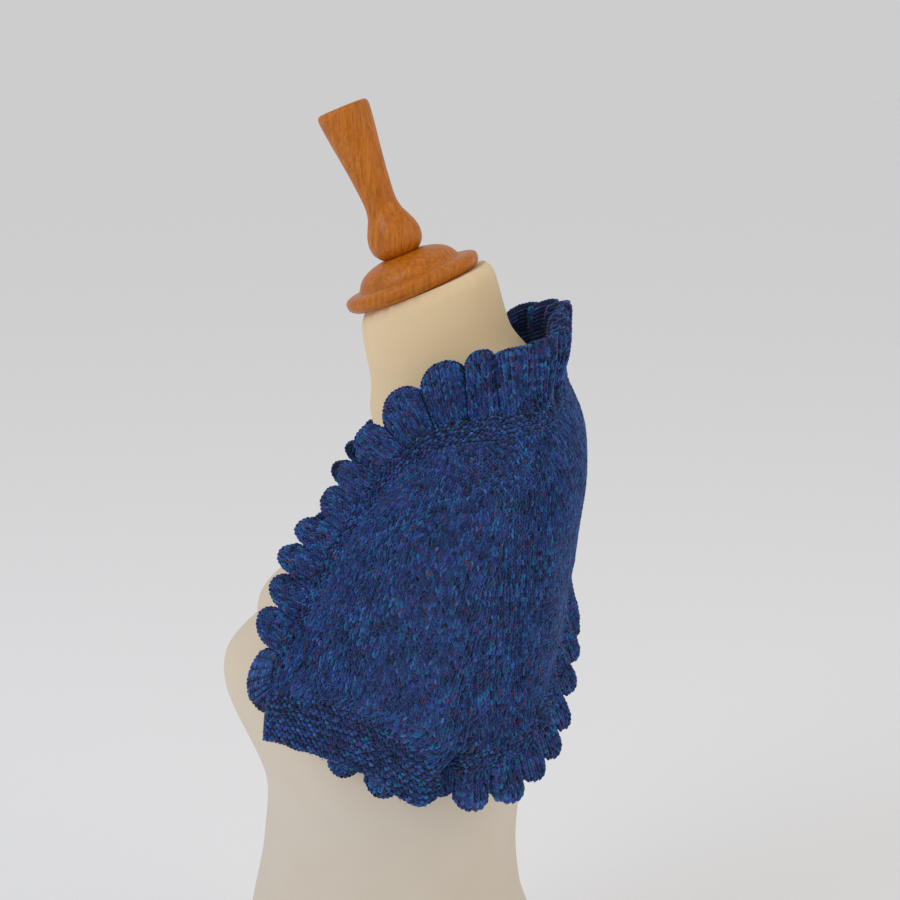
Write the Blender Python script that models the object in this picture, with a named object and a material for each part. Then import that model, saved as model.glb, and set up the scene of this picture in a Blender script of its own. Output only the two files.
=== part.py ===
"""Knit bolero with a petal ruffle, on its limbless dress form.

Sizes are in millimetres and become metres where a mesh is made.  +Z is up, the form faces -Y,
the wearer's left is +X, and the flat base of the form stands on z = 0.
"""
import math
from collections import namedtuple

import bpy
import numpy as np

MILLIMETRE = 0.001

# Driving dimensions
KNIT_THICKNESS = 2.4
CUFF_THICKNESS = 3.0
SEAM_GAP = 0.5
LOBE_SWELL = 6.5
LOBE_HANG = 0.7
FRONT_POWER, BACK_POWER = 2.2, 2.6
BUST_SIDE, BUST_HEIGHT, BUST_DEPTH, BUST_SPREAD = 80.0, 394.0, 44.0, 42.0
BUST_RISE, BUST_FALL = 43.0, 46.0
NECK_TOP, CAP_CENTRE = 654.0, 23.0

# Form sections, from the flat base to the top of the neck
FormSection = namedtuple("FormSection", "height centre front back half_width tilt")
FORM_SECTIONS = [
    FormSection(0, 8, 118, 118, 156, 0),
    FormSection(55, 8, 122, 122, 164, 0),
    FormSection(120, 4, 114, 114, 148, 0),
    FormSection(178, -2, 103, 103, 128, 0),
    FormSection(240, 2, 95, 95, 114, 0),
    FormSection(288, 7, 94, 94, 117, 0),
    FormSection(345, 12, 97, 99, 127, 0),
    FormSection(402, 17, 96, 104, 140, 0),
    FormSection(455, 26, 76, 105, 151, 2),
    FormSection(500, 34, 65, 105, 159, 5),
    FormSection(528, 43, 60, 98, 157, 9),
    FormSection(550, 50, 58, 84, 130, 15),
    FormSection(570, 52, 61, 71, 90, 20),
    FormSection(588, 46, 60, 60, 62, 23),
    FormSection(610, 40, 53, 52, 54, 22),
    FormSection(638, 33, 51, 51, 50, 22),
    FormSection(648, 31, 49.6, 49.6, 48.6, 22),
    FormSection(NECK_TOP, 30, 45.5, 45.5, 44.5, 22),
]

# How far the cloth stands off the form at the back, the side and the front
ClothEase = namedtuple("ClothEase", "height back side front")
CLOTH_EASE = [
    ClothEase(320, 20, 50, 44),
    ClothEase(360, 15, 47, 42),
    ClothEase(400, 7, 41, 36),
    ClothEase(440, 4, 33, 12),
    ClothEase(470, 3.4, 27, 6),
    ClothEase(500, 3.2, 19, 5),
    ClothEase(528, 3.2, 10, 4),
    ClothEase(550, 3.4, 5.5, 4),
    ClothEase(570, 4.5, 4.5, 4),
    ClothEase(588, 8, 4.5, 4),
    ClothEase(610, 10, 5, 5),
]

# The edge of the cloth that carries the border, down the left half from the back neck to the back hem.
# Turn is the angle round the form, 90 at the back and 0 at the left side; inset is the depth under the sleeve;
# the leans are outward from the cloth; band and lobe are the widths of the band and the ruffle,
# and notch is the share of a lobe that is cut away at its sides.
EdgeRow = namedtuple("EdgeRow", "turn height inset band_lean lobe_lean band lobe notch")
EDGE_ROWS = [
    EdgeRow(90, 560, 0, 5, 31, 18, 36, 0.14),
    EdgeRow(70, 557, 0, 9, 33, 18, 38, 0.14),
    EdgeRow(51, 554, 0, 14, 39, 18, 41, 0.14),
    EdgeRow(37, 553, 0, 17, 43, 18, 43, 0.14),
    EdgeRow(22, 557, 0, 18, 45, 18, 42, 0.14),
    EdgeRow(8, 562, 0, 16, 43, 18, 40, 0.15),
    EdgeRow(-3, 562.5, 0, 12, 36, 18, 36, 0.2),
    EdgeRow(-11, 556, 0, 9, 27, 17, 31, 0.3),
    EdgeRow(-15, 541, 0, 7, 26, 16, 29, 0.34),
    EdgeRow(-16.7, 521, 0, 6, 28, 16, 29, 0.34),
    EdgeRow(-18, 497, 0, 6, 30, 16, 29, 0.34),
    EdgeRow(-20, 474, 0.2, 5, 32, 16, 30, 0.34),
    EdgeRow(-22, 452, 0.8, 0, 28, 15, 27, 0.34),
    EdgeRow(-23.5, 432, 3.4, -7, -2, 15, 23, 0.34),
    EdgeRow(-22.3, 425, 12, -16, -23, 17, 26, 0.34),
    EdgeRow(-17, 416, 20, -18, -24, 18, 28, 0.34),
    EdgeRow(-9, 404, 25, -15, -8, 18, 38, 0.34),
    EdgeRow(1, 391, 26.5, -15, -8, 18, 38, 0.34),
    EdgeRow(9, 384, 26, -15, -14, 17, 33, 0.34),
    EdgeRow(14, 381, 20, -14, -20, 16, 26, 0.34),
    EdgeRow(16.5, 380, 3.4, -6, -10, 15, 23, 0.34),
    EdgeRow(22, 378.5, 0.5, 2, 4, 15, 23, 0.34),
    EdgeRow(30, 378.5, 0, 5, 14, 15, 23, 0.34),
    EdgeRow(41, 384, 0, 5, 15, 15, 23, 0.34),
    EdgeRow(53, 400, 0, 6, 16, 15, 24, 0.34),
    EdgeRow(64, 420, 0, 7, 18, 16, 25, 0.34),
    EdgeRow(75, 438, 0, 8, 20, 17, 26, 0.34),
    EdgeRow(84, 448, 0, 8, 20, 17, 26, 0.34),
    EdgeRow(90, 450, 0, 8, 20, 17, 26, 0.34),
]
FRONT_FOLD_ROW, REAR_FOLD_ROW = 13, 20

# Seam between the sleeve and the back, from the neck down
SeamRow = namedtuple("SeamRow", "turn height")
BACK_SEAM = [SeamRow(18.3, 525), SeamRow(17.6, 480), SeamRow(17, 430)]
BACK_SEAM_TOP_TURN = 19.5

# Upper and lower edges of the cuff, from the rear fold over the outside to the front fold;
# flare is how far it stands out from the line of the cloth
CuffRow = namedtuple("CuffRow", "turn upper lower inner_upper inner_lower flare")
CUFF_ROWS = [
    CuffRow(12.5, 372, 351.5, 372, 351.5, 6),
    CuffRow(9.5, 380, 346, 371, 346, 5.1),
    CuffRow(6, 388.5, 350.5, 370, 348, 4),
    CuffRow(0.5, 401, 362.5, 374, 355, 2),
    CuffRow(-6.5, 410, 372, 380, 362, 0.5),
    CuffRow(-15, 413, 377.5, 390, 369, 0),
    CuffRow(-21, 411, 379, 400, 374, 0),
    CuffRow(-24.5, 408, 378, 408, 378, 0),
]
SLEEVE_DEPTH, SEAM_CUFF_TURN = 15.0, 2.0

# Turned wood: distance along its axis from the top of the neck, and radius
TurnedRow = namedtuple("TurnedRow", "along radius")
CAP_ROWS = [
    TurnedRow(0.3, 43.5), TurnedRow(1.4, 46), TurnedRow(5.2, 49.3), TurnedRow(8.4, 49.5), TurnedRow(11, 47.6),
    TurnedRow(12.2, 43.5), TurnedRow(12.6, 38.6), TurnedRow(14.6, 36.8), TurnedRow(18.2, 34.6), TurnedRow(22, 30.4),
    TurnedRow(25, 24), TurnedRow(27, 16),
]
HANDLE_ROWS = [
    TurnedRow(27.8, 13.5), TurnedRow(30, 16), TurnedRow(34, 18.4), TurnedRow(39.5, 19.2), TurnedRow(46, 18),
    TurnedRow(52.5, 15.2), TurnedRow(59, 12.4), TurnedRow(66, 11.4), TurnedRow(82, 12.6), TurnedRow(104, 15.3),
    TurnedRow(123, 17.9), TurnedRow(132, 18.7), TurnedRow(134.6, 18), TurnedRow(135.5, 16.4),
]
HANDLE_TILT = 22.0

# Photo colours, linear
BLUE_TWEED = (0.021, 0.038, 0.107, 1.0)
CREAM_JERSEY = (0.60, 0.50, 0.33, 1.0)
BEECH = (0.40, 0.14, 0.03, 1.0)


def smooth_through(places, values, at):
    """Monotone cubic through the rows of a table."""
    places = np.asarray(places, float)
    values = np.asarray(values, float)
    at = np.asarray(at, float)
    steps = np.diff(places)
    slopes = np.diff(values) / steps
    bends = np.zeros_like(values)
    bends[0], bends[-1] = slopes[0], slopes[-1]
    for i in range(1, len(places) - 1):
        if slopes[i - 1] * slopes[i] > 0:
            before = 2 * steps[i] + steps[i - 1]
            after = steps[i] + 2 * steps[i - 1]
            bends[i] = (before + after) / (before / slopes[i - 1] + after / slopes[i])
    row = np.clip(np.searchsorted(places, at) - 1, 0, len(places) - 2)
    part = (at - places[row]) / steps[row]
    rest = 1 - part
    return ((1 + 2 * part) * rest ** 2 * values[row] + part * rest ** 2 * steps[row] * bends[row]
            + part ** 2 * (3 - 2 * part) * values[row + 1] - part ** 2 * rest * steps[row] * bends[row + 1])


def column(table, name, at, along="height"):
    return smooth_through([getattr(row, along) for row in table], [getattr(row, name) for row in table], at)


def form_point(turn, height, ease_back=0.0, ease_side=0.0, ease_front=0.0):
    """Point of a rounded, tilted section of the form, let out by the eases."""
    turn = np.radians(np.asarray(turn, float))
    height = np.asarray(height, float)
    sine, cosine = np.sin(turn), np.cos(turn)
    depth = np.where(sine > 0, column(FORM_SECTIONS, "back", height) + ease_back,
                     column(FORM_SECTIONS, "front", height) + ease_front)
    width = column(FORM_SECTIONS, "half_width", height) + ease_side
    power = np.where(sine > 0, BACK_POWER, FRONT_POWER)
    radius = (np.abs(cosine / width) ** power + np.abs(sine / depth) ** power) ** (-1 / power)
    tilt = np.radians(column(FORM_SECTIONS, "tilt", height))
    x = radius * cosine
    y = column(FORM_SECTIONS, "centre", height) + radius * sine * np.cos(tilt)
    z = height + radius * sine * np.sin(tilt)
    spread = np.where(z > BUST_HEIGHT, BUST_RISE, BUST_FALL)
    bust = sum(np.exp(-((x - side * BUST_SIDE) / BUST_SPREAD) ** 2 / 2) for side in (-1, 1))
    bust = bust * np.exp(-((z - BUST_HEIGHT) / spread) ** 2 / 2) * np.sqrt(np.clip(-sine, 0, 1))
    return np.stack([x, y - BUST_DEPTH * bust, z], -1)


def cloth_point(turn, height):
    eases = [column(CLOTH_EASE, name, height) for name in ("back", "side", "front")]
    return form_point(turn, height, *eases)


def cloth_normal(turn, height):
    """Outward direction of the cloth surface."""
    round_it = cloth_point(np.asarray(turn) + 0.5, height) - cloth_point(np.asarray(turn) - 0.5, height)
    up_it = cloth_point(turn, np.asarray(height) + 0.5) - cloth_point(turn, np.asarray(height) - 0.5)
    normal = np.cross(round_it, up_it)
    return normal / np.linalg.norm(normal, axis=-1, keepdims=True)


def under_cloth(turn, height, inset):
    return cloth_point(turn, height) - cloth_normal(turn, height) * np.asarray(inset)[..., None]


def spline_through(rows, at, before=None, after=None):
    """Rounded curve through whole rows; at counts rows."""
    rows = np.asarray(rows, float)
    before = 2 * rows[0] - rows[1] if before is None else before
    after = 2 * rows[-1] - rows[-2] if after is None else after
    padded = np.vstack([before, rows, after])
    at = np.asarray(at, float)
    row = np.clip(np.floor(at).astype(int), 0, len(rows) - 2)
    part = (at - row)[..., None]
    a, b, c, d = (padded[row + k] for k in range(4))
    return 0.5 * (2 * b + (c - a) * part + (2 * a - 5 * b + 4 * c - d) * part ** 2
                  + (3 * b - a - 3 * c + d) * part ** 3)


def edge_row(at):
    """Row of the edge table; both ends meet their mirror image at the middle of the back."""
    first, last = EDGE_ROWS[1], EDGE_ROWS[-2]
    return spline_through(EDGE_ROWS, at, first._replace(turn=180 - first.turn), last._replace(turn=180 - last.turn))


def edge_place(turn, first, last):
    """Place in the edge table, between two rows, where the edge has this turn."""
    places = np.linspace(first, last, 400)
    return places[np.argmin(np.abs(edge_row(places)[:, 0] - turn))]


def even_places(first, last, count, reach=0.0):
    """Places along the edge table, evenly spaced in length on the edge or on its lobe base."""
    fine = np.linspace(first, last, 600)
    points = border_frame(fine)[4] if reach else edge_points(fine)
    run = np.concatenate([[0], np.cumsum(np.linalg.norm(np.diff(points, axis=0), axis=1))])
    return np.interp(np.linspace(0, run[-1], count), run, fine)


def edge_points(at):
    rows = edge_row(at)
    return under_cloth(rows[:, 0], rows[:, 1], rows[:, 2])


def border_frame(at):
    """Edge point, run, outward and fall directions, and the foot of the lobes, at places along the edge."""
    at = np.asarray(at, float)
    rows = edge_row(at)
    points = edge_points(at)
    ahead = edge_points(np.clip(at + 0.12, 0, len(EDGE_ROWS) - 1))
    behind = edge_points(np.clip(at - 0.12, 0, len(EDGE_ROWS) - 1))
    run = ahead - behind
    run[at < 1e-6] *= np.array([1, 0, 0])
    run[at > len(EDGE_ROWS) - 1 - 1e-6] *= np.array([1, 0, 0])
    run /= np.linalg.norm(run, axis=1, keepdims=True)
    out = cloth_normal(rows[:, 0], rows[:, 1])
    out -= run * np.sum(out * run, axis=1, keepdims=True)
    out /= np.linalg.norm(out, axis=1, keepdims=True)
    fall = np.cross(run, out)
    lean = np.radians(rows[:, 3:4])
    foot = points + (np.cos(lean) * fall + np.sin(lean) * out) * (rows[:, 5:6] + 2 * SEAM_GAP)
    return points, run, out, fall, foot


def add_solid(name, verts, faces, colour, roughness=0.9):
    mesh = bpy.data.meshes.new(name)
    mesh.from_pydata([tuple(float(c) * MILLIMETRE for c in v) for v in verts], [], [tuple(f) for f in faces])
    mesh.validate()
    mesh.update()
    part = bpy.data.objects.new(name, mesh)
    bpy.context.scene.collection.objects.link(part)
    material = bpy.data.materials.new(name + "_material")
    material.use_nodes = True
    shader = material.node_tree.nodes["Principled BSDF"]
    shader.inputs["Base Color"].default_value = colour
    shader.inputs["Roughness"].default_value = roughness
    mesh.materials.append(material)
    return part


def grid_normals(grid, closed):
    """Normals of a grid of points [across][along]; across x along points outward."""
    across = np.empty_like(grid)
    across[1:-1] = grid[2:] - grid[:-2]
    if closed:
        across[0] = grid[1] - grid[-1]
        across[-1] = grid[0] - grid[-2]
    else:
        across[0] = grid[1] - grid[0]
        across[-1] = grid[-1] - grid[-2]
    along = np.empty_like(grid)
    along[:, 1:-1] = grid[:, 2:] - grid[:, :-2]
    along[:, 0] = grid[:, 1] - grid[:, 0]
    along[:, -1] = grid[:, -1] - grid[:, -2]
    normal = np.cross(across, along)
    return normal / np.maximum(np.linalg.norm(normal, axis=-1, keepdims=True), 1e-9)


def split_quad(quad, points):
    """Two triangles, along the shorter diagonal."""
    a, b, c, d = quad
    if np.linalg.norm(points[a] - points[c]) <= np.linalg.norm(points[b] - points[d]):
        return [(a, b, c), (a, c, d)]
    return [(b, c, d), (b, d, a)]


def add_wall(name, grid, thickness, closed=False, mirrored=False, normal=None, colour=BLUE_TWEED):
    """Thick wall on a grid of mid-surface points [across][along]."""
    facing = grid_normals(grid, closed)
    if normal is None:
        normal = facing
    elif np.sum(normal * facing) < 0:
        grid, normal = grid[::-1], normal[::-1]
    across, along = grid.shape[:2]
    verts = np.concatenate([(grid + normal * thickness / 2).reshape(-1, 3),
                            (grid - normal * thickness / 2).reshape(-1, 3)])
    back = across * along

    middle = grid.reshape(-1, 3)

    def at(i, j):
        return (i % across) * along + j

    faces = []
    for i in range(across if closed else across - 1):
        for j in range(along - 1):
            for face in split_quad((at(i, j), at(i + 1, j), at(i + 1, j + 1), at(i, j + 1)), middle):
                faces.append(face)
                faces.append(tuple(back + k for k in reversed(face)))
        j = along - 1
        faces += split_quad((at(i, 0), back + at(i, 0), back + at(i + 1, 0), at(i + 1, 0)), verts)
        faces += split_quad((at(i + 1, j), back + at(i + 1, j), back + at(i, j), at(i, j)), verts)
    if not closed:
        i = across - 1
        for j in range(along - 1):
            faces += split_quad((at(0, j + 1), back + at(0, j + 1), back + at(0, j), at(0, j)), verts)
            faces += split_quad((at(i, j), back + at(i, j), back + at(i, j + 1), at(i, j + 1)), verts)
    if mirrored:
        verts = verts * np.array([-1, 1, 1])
        faces = [tuple(reversed(face)) for face in faces]
    return add_solid(name, verts, faces, colour)


def add_turned(name, rows, colour, tilt_degrees, steps=28):
    """Solid of revolution on a tilted axis through the top of the neck, a little in front of its middle."""
    tilt = math.radians(tilt_degrees)
    lean = math.radians(FORM_SECTIONS[-1].tilt)
    cap_top = CAP_ROWS[-1].along
    axis = np.array([0.0, -math.sin(tilt), math.cos(tilt)])
    side = np.array([0.0, math.cos(tilt), math.sin(tilt)])
    joint = np.array([0.0, -math.sin(lean), math.cos(lean)]) * cap_top
    seat = NECK_TOP + (CAP_CENTRE - FORM_SECTIONS[-1].centre) * math.tan(lean)
    foot = np.array([0.0, CAP_CENTRE, seat]) + joint - axis * cap_top
    verts, faces = [], []
    for row in rows:
        for k in range(steps):
            angle = 2 * math.pi * k / steps
            verts.append(foot + axis * row.along
                         + row.radius * (math.cos(angle) * np.array([1.0, 0, 0]) + math.sin(angle) * side))
    for j in range(len(rows) - 1):
        for k in range(steps):
            nxt = (k + 1) % steps
            faces.append((j * steps + k, j * steps + nxt, (j + 1) * steps + nxt, (j + 1) * steps + k))
    faces.append(tuple(reversed(range(steps))))
    faces.append(tuple((len(rows) - 1) * steps + k for k in range(steps)))
    return add_solid(name, verts, faces, colour, 0.45)


def add_form():
    """Torso of the form: rounded sections with flat ends."""
    heights = [0, 28, 55, 88, 120, 150, 178, 210, 240, 270, 300, 330, 355, 375, 395, 415, 435, 458, 480,
               500, 515, 528, 539, 550, 560, 570, 579, 588, 599, 612, 626, 640, 648, NECK_TOP]
    steps = 40
    turns = np.arange(steps) * 360 / steps
    verts = np.concatenate([form_point(turns, np.full(steps, h)) for h in heights])
    faces = []
    for j in range(len(heights) - 1):
        for k in range(steps):
            nxt = (k + 1) % steps
            faces.append((j * steps + k, j * steps + nxt, (j + 1) * steps + nxt, (j + 1) * steps + k))
    faces.append(tuple(reversed(range(steps))))
    faces.append(tuple((len(heights) - 1) * steps + k for k in range(steps)))
    return add_solid("form_torso", verts, faces, CREAM_JERSEY, 0.85)


def seam_line(rows, top, fold_row):
    """Turn and height down a sleeve seam, from the neck edge to the fold under the arm."""
    start = edge_row(np.array([top]))[0]
    end = edge_row(np.array([fold_row]))[0]
    points = [(start[0], start[1])] + [(row.turn, row.height) for row in rows] + [(end[0], end[1])]
    return spline_through(points, np.linspace(0, len(points) - 1, SEAM_STEPS + 1))


def pull_in(grid, sides=True, start=True, end=True):
    """Draw the outline of a grid in by half a seam gap."""
    grid = grid.copy()

    def draw(edge, inner):
        step = inner - edge
        length = np.linalg.norm(step, axis=-1, keepdims=True)
        return edge + step / np.maximum(length, 1e-6) * np.minimum(SEAM_GAP / 2, length / 3)

    if start:
        grid[:, 0] = draw(grid[:, 0], grid[:, 1])
    if end:
        grid[:, -1] = draw(grid[:, -1], grid[:, -2])
    if sides:
        grid[0] = draw(grid[0], grid[1])
        grid[-1] = draw(grid[-1], grid[-2])
    return grid


def add_back():
    """Back panel, between the two back seams, from the neck band to the hem band."""
    neck = edge_row(BACK_NECK)
    hem = edge_row(BACK_HEM)[::-1]
    seam = seam_line(BACK_SEAM, BACK_SEAM_TOP, REAR_FOLD_ROW)
    share = np.linspace(0, 1, len(neck)) ** 2
    part = np.linspace(0, 1, SEAM_STEPS + 1)
    turn = np.outer(neck[:, 0], 1 - part) + np.outer(hem[:, 0], part)
    height = np.outer(neck[:, 1], 1 - part) + np.outer(hem[:, 1], part)
    turn += share[:, None] * (seam[:, 0] - turn[-1])
    height += share[:, None] * (seam[:, 1] - height[-1])
    grid = under_cloth(turn, height, np.outer(hem[:, 2], part ** 6))
    normal = with_mirror(cloth_normal(turn, height))
    add_wall("back", pull_in(with_mirror(grid)), KNIT_THICKNESS, normal=normal)


def cuff_loop(upper):
    """Turn, height and inset round the upper or the lower edge of the cuff."""
    turns = [row.turn for row in reversed(CUFF_ROWS)]
    outer = [row.upper if upper else row.lower for row in reversed(CUFF_ROWS)]
    inner = [row.inner_upper if upper else row.inner_lower for row in reversed(CUFF_ROWS)]
    flares = [row.flare for row in reversed(CUFF_ROWS)]
    share_in = np.linspace(0, 1, len(UNDER_EDGE))[:-1]
    share_in = 0.5 - 0.5 * np.cos(math.pi * share_in) * (1 - 0.12 * np.sin(math.pi * share_in))
    turn_out = np.concatenate([np.linspace(turns[-1], SEAM_CUFF_TURN, SEAM_STEPS + 1)[:-1],
                               np.linspace(SEAM_CUFF_TURN, turns[0], EDGE_STEPS + 1)[:-1]])
    turn_in = turns[0] + (turns[-1] - turns[0]) * share_in
    depth = SLEEVE_DEPTH * np.sqrt(np.clip(1 - np.abs(2 * share_in - 1) ** 3, 0, 1))
    return np.concatenate([
        np.stack([turn_out, smooth_through(turns, outer, turn_out), -smooth_through(turns, flares, turn_out)], 1),
        np.stack([turn_in, smooth_through(turns, inner, turn_in), depth - smooth_through(turns, flares, turn_in)], 1)])


def armhole_loop():
    """Turn, height and inset round the outside of the top of the sleeve: back seam, neck, front edge."""
    back = seam_line(BACK_SEAM, BACK_SEAM_TOP, REAR_FOLD_ROW)[::-1]
    loop = np.concatenate([back[:-1], edge_row(SLEEVE_EDGE)[:, :2]])
    return np.column_stack([loop, np.zeros(len(loop))])


def blend(top, low, count):
    """Rows between two rows of values, the first and last included."""
    part = np.linspace(0, 1, count)[None, :, None]
    return (1 - part) * top[:, None] + part * low[:, None]


def add_sleeves_and_cuffs():
    """Sleeves, hanging flat at the side of the form from the armhole to the cuff, and their garter cuffs."""
    cuff_top, cuff_low = cuff_loop(True), cuff_loop(False)
    outside = OUTER_STEPS + 1
    rows = blend(armhole_loop(), cuff_top[:outside], SLEEVE_ROWS)
    outer = under_cloth(rows[..., 0], rows[..., 1], rows[..., 2])
    edge, run, out = border_frame(UNDER_EDGE[1:-1])[:3]
    under_top = edge + out * (KNIT_THICKNESS + 2 * SEAM_GAP)
    inner = blend(under_top, under_cloth(*cuff_top[outside:].T), SLEEVE_ROWS)
    cuff_rows = blend(cuff_top, cuff_low, CUFF_ROWS_DOWN)
    cuff = under_cloth(cuff_rows[..., 0], cuff_rows[..., 1], cuff_rows[..., 2])
    grid = np.concatenate([np.concatenate([outer, inner]), cuff[:, 1:]], 1)
    normal = grid_normals(grid, True)
    surface = cloth_normal(rows[..., 0], rows[..., 1])
    if np.sum(normal[:outside, :SLEEVE_ROWS] * surface) < 0:
        normal = -normal
    normal[1:OUTER_STEPS, :3] = surface[1:OUTER_STEPS, :3]
    for fold, side in ((0, 1), (OUTER_STEPS, -1)):
        turn, height = rows[fold, :, 0], rows[fold, :, 1]
        round_it = cloth_point(turn + side * 0.5, height) - cloth_point(turn - side * 0.5, height)
        round_it /= np.linalg.norm(round_it, axis=1, keepdims=True)
        away = round_it + 0.4 * surface[fold]
        normal[fold, :SLEEVE_ROWS] = away / np.linalg.norm(away, axis=1, keepdims=True)
    pieces = [("sleeve_", pull_in(grid[:, :SLEEVE_ROWS], sides=False), normal[:, :SLEEVE_ROWS], KNIT_THICKNESS),
              ("cuff_", pull_in(grid[:, SLEEVE_ROWS - 1:], sides=False, end=False), normal[:, SLEEVE_ROWS - 1:],
               CUFF_THICKNESS)]
    for name, shape, facing, thickness in pieces:
        add_wall(name + "left", shape, thickness, closed=True, normal=facing)
        add_wall(name + "right", shape, thickness, closed=True, normal=facing, mirrored=True)


def with_mirror(grid):
    """Grid whose first line lies on the middle plane, joined to its mirror image."""
    other = grid[:0:-1] * np.array([-1, 1, 1])
    return np.concatenate([other, grid])


def band_grid(at):
    """Band on the edge, with the panels' own places along it."""
    points, run, out, fall, foot = border_frame(at)
    start = points + fall * SEAM_GAP
    grid = start[:, None] + (foot - start)[:, None] * np.array([0.0, 0.5, 1.0])[None, :, None]
    normal = np.cross(run, foot - start)
    normal /= np.linalg.norm(normal, axis=1, keepdims=True)
    return grid, np.repeat(normal[:, None], 3, axis=1)


def lobe_sway(number, salt):
    """Small steady difference of one lobe from the next, from -1 to 1."""
    value = math.sin(number * 12.9898 + salt * 78.233) * 43758.5453
    return 2 * (value - math.floor(value)) - 1


def ruffle_grid(band_at, lobes, number):
    """Petal ruffle: rounded lobes side by side, joined along the foot of the band."""
    at = even_places(band_at[0], band_at[-1], lobes * LOBE_STEPS + 1, reach=1.0)
    points, run, out, fall, foot = border_frame(at)
    band_foot = border_frame(band_at)[4]
    foot = np.stack([np.interp(at, band_at, band_foot[:, k]) for k in range(3)], 1)
    rows = edge_row(at)
    band_lean = np.radians(rows[:, 3:4])
    onward = np.cos(band_lean) * fall + np.sin(band_lean) * out
    flush = np.cos(band_lean) * out - np.sin(band_lean) * fall
    hang = fall + np.clip((-fall[:, 2:3] - 0.6) / 0.3, 0, 1) * LOBE_HANG * np.array([0, 0, -1.0])
    hang -= out * np.sum(hang * out, axis=1, keepdims=True)
    hang /= np.linalg.norm(hang, axis=1, keepdims=True)
    rows_down = np.array([0.0, 0.32, 0.64, 0.86, 1.0])
    swell_down = np.array([0.0, 0.62, 1.0, 1.02, 0.80])
    grid = np.empty((len(at), len(rows_down), 3))
    for k in range(len(at)):
        lobe = min(k // LOBE_STEPS, lobes - 1)
        across = 2 * (k - lobe * LOBE_STEPS) / LOBE_STEPS - 1
        inside = 1 - abs(across) ** 4
        size = 1 + 0.07 * lobe_sway(number + lobe, 1) * inside
        lean = math.radians(rows[k, 4] + 6 * lobe_sway(number + lobe, 2) * inside)
        down = math.cos(lean) * hang[k] + math.sin(lean) * out[k]
        away = math.cos(lean) * out[k] - math.sin(lean) * hang[k]
        length = rows[k, 6] * size * (1 - rows[k, 7] * abs(across) ** 2.6)
        swell = LOBE_SWELL * size * (math.cos(math.pi * across / 2) ** 0.9 * 1.25 - 0.45)
        start = foot[k] + onward[k] * 1.5 * SEAM_GAP
        grid[k] = start + np.outer(rows_down * length, down) + np.outer(swell_down * swell, away)
    return grid, flush, np.cross(out, hang)


def square_end(normal, run):
    """Turn the normals of an end line square to the run of the border."""
    normal = normal - run * np.sum(normal * run, axis=-1, keepdims=True)
    return normal / np.linalg.norm(normal, axis=-1, keepdims=True)


def add_border():
    """Garter band and petal ruffle round the neck, fronts, under the arms and the hem."""
    neck_places = np.concatenate([BACK_NECK[:-1], SLEEVE_EDGE[:NECK_CORNER_STEP + 1]])
    spans = [("neck", neck_places, 9), ("front", SLEEVE_EDGE[NECK_CORNER_STEP:], 6),
             ("under", UNDER_EDGE, 5), ("hem", BACK_HEM, 8)]
    mirror = np.array([-1, 1, 1])
    number = 0
    for place, at, lobes in spans:
        band, band_normal = band_grid(at)
        ruffle, flush, run = ruffle_grid(at, lobes, number)
        number += lobes
        starts, ends = run[0], run[-1]
        if place == "neck":
            band, band_normal, ruffle, flush = (with_mirror(g) for g in (band, band_normal, ruffle, flush))
            starts = ends * mirror
        if place == "hem":
            band, band_normal, ruffle, flush = (with_mirror(g[::-1]) for g in (band, band_normal, ruffle, flush))
            starts, ends = starts * mirror, starts
        ruffle_normal = grid_normals(ruffle, False)
        facing = np.sign(np.sum(ruffle_normal[:, 0] * flush))
        ruffle_normal[:, 0] = facing * flush
        ruffle_normal[0] = square_end(ruffle_normal[0], starts)
        ruffle_normal[-1] = square_end(ruffle_normal[-1], ends)
        sides = [("", False)] if place in ("neck", "hem") else [("_left", False), ("_right", True)]
        for side, mirrored in sides:
            add_wall("band_" + place + side, pull_in(band, start=False, end=False), KNIT_THICKNESS,
                     normal=band_normal, mirrored=mirrored)
            add_wall("ruffle_" + place + side, pull_in(ruffle, start=False, end=False), KNIT_THICKNESS,
                     normal=ruffle_normal, mirrored=mirrored)


# Places along the edge that the panels and the band share
SEAM_STEPS, EDGE_STEPS, LOBE_STEPS = 10, 14, 6
SLEEVE_ROWS, CUFF_ROWS_DOWN = 9, 4
OUTER_STEPS = SEAM_STEPS + EDGE_STEPS
BACK_SEAM_TOP = edge_place(BACK_SEAM_TOP_TURN, 0, 7)
BACK_NECK = even_places(0, BACK_SEAM_TOP, 11)
SLEEVE_EDGE = even_places(BACK_SEAM_TOP, FRONT_FOLD_ROW, EDGE_STEPS + 1)
NECK_CORNER_STEP = 5
UNDER_EDGE = even_places(FRONT_FOLD_ROW, REAR_FOLD_ROW, 19)
BACK_HEM = even_places(REAR_FOLD_ROW, len(EDGE_ROWS) - 1, 11)

for old in list(bpy.data.objects):
    bpy.data.objects.remove(old, do_unlink=True)
add_form()
add_turned("neck_cap", CAP_ROWS, BEECH, FORM_SECTIONS[-1].tilt)
add_turned("neck_handle", HANDLE_ROWS, BEECH, HANDLE_TILT)
add_back()
add_sleeves_and_cuffs()
add_border()
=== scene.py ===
"""Looks of the knit bolero with a petal ruffle, worn by its limbless dress form."""
import math

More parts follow.
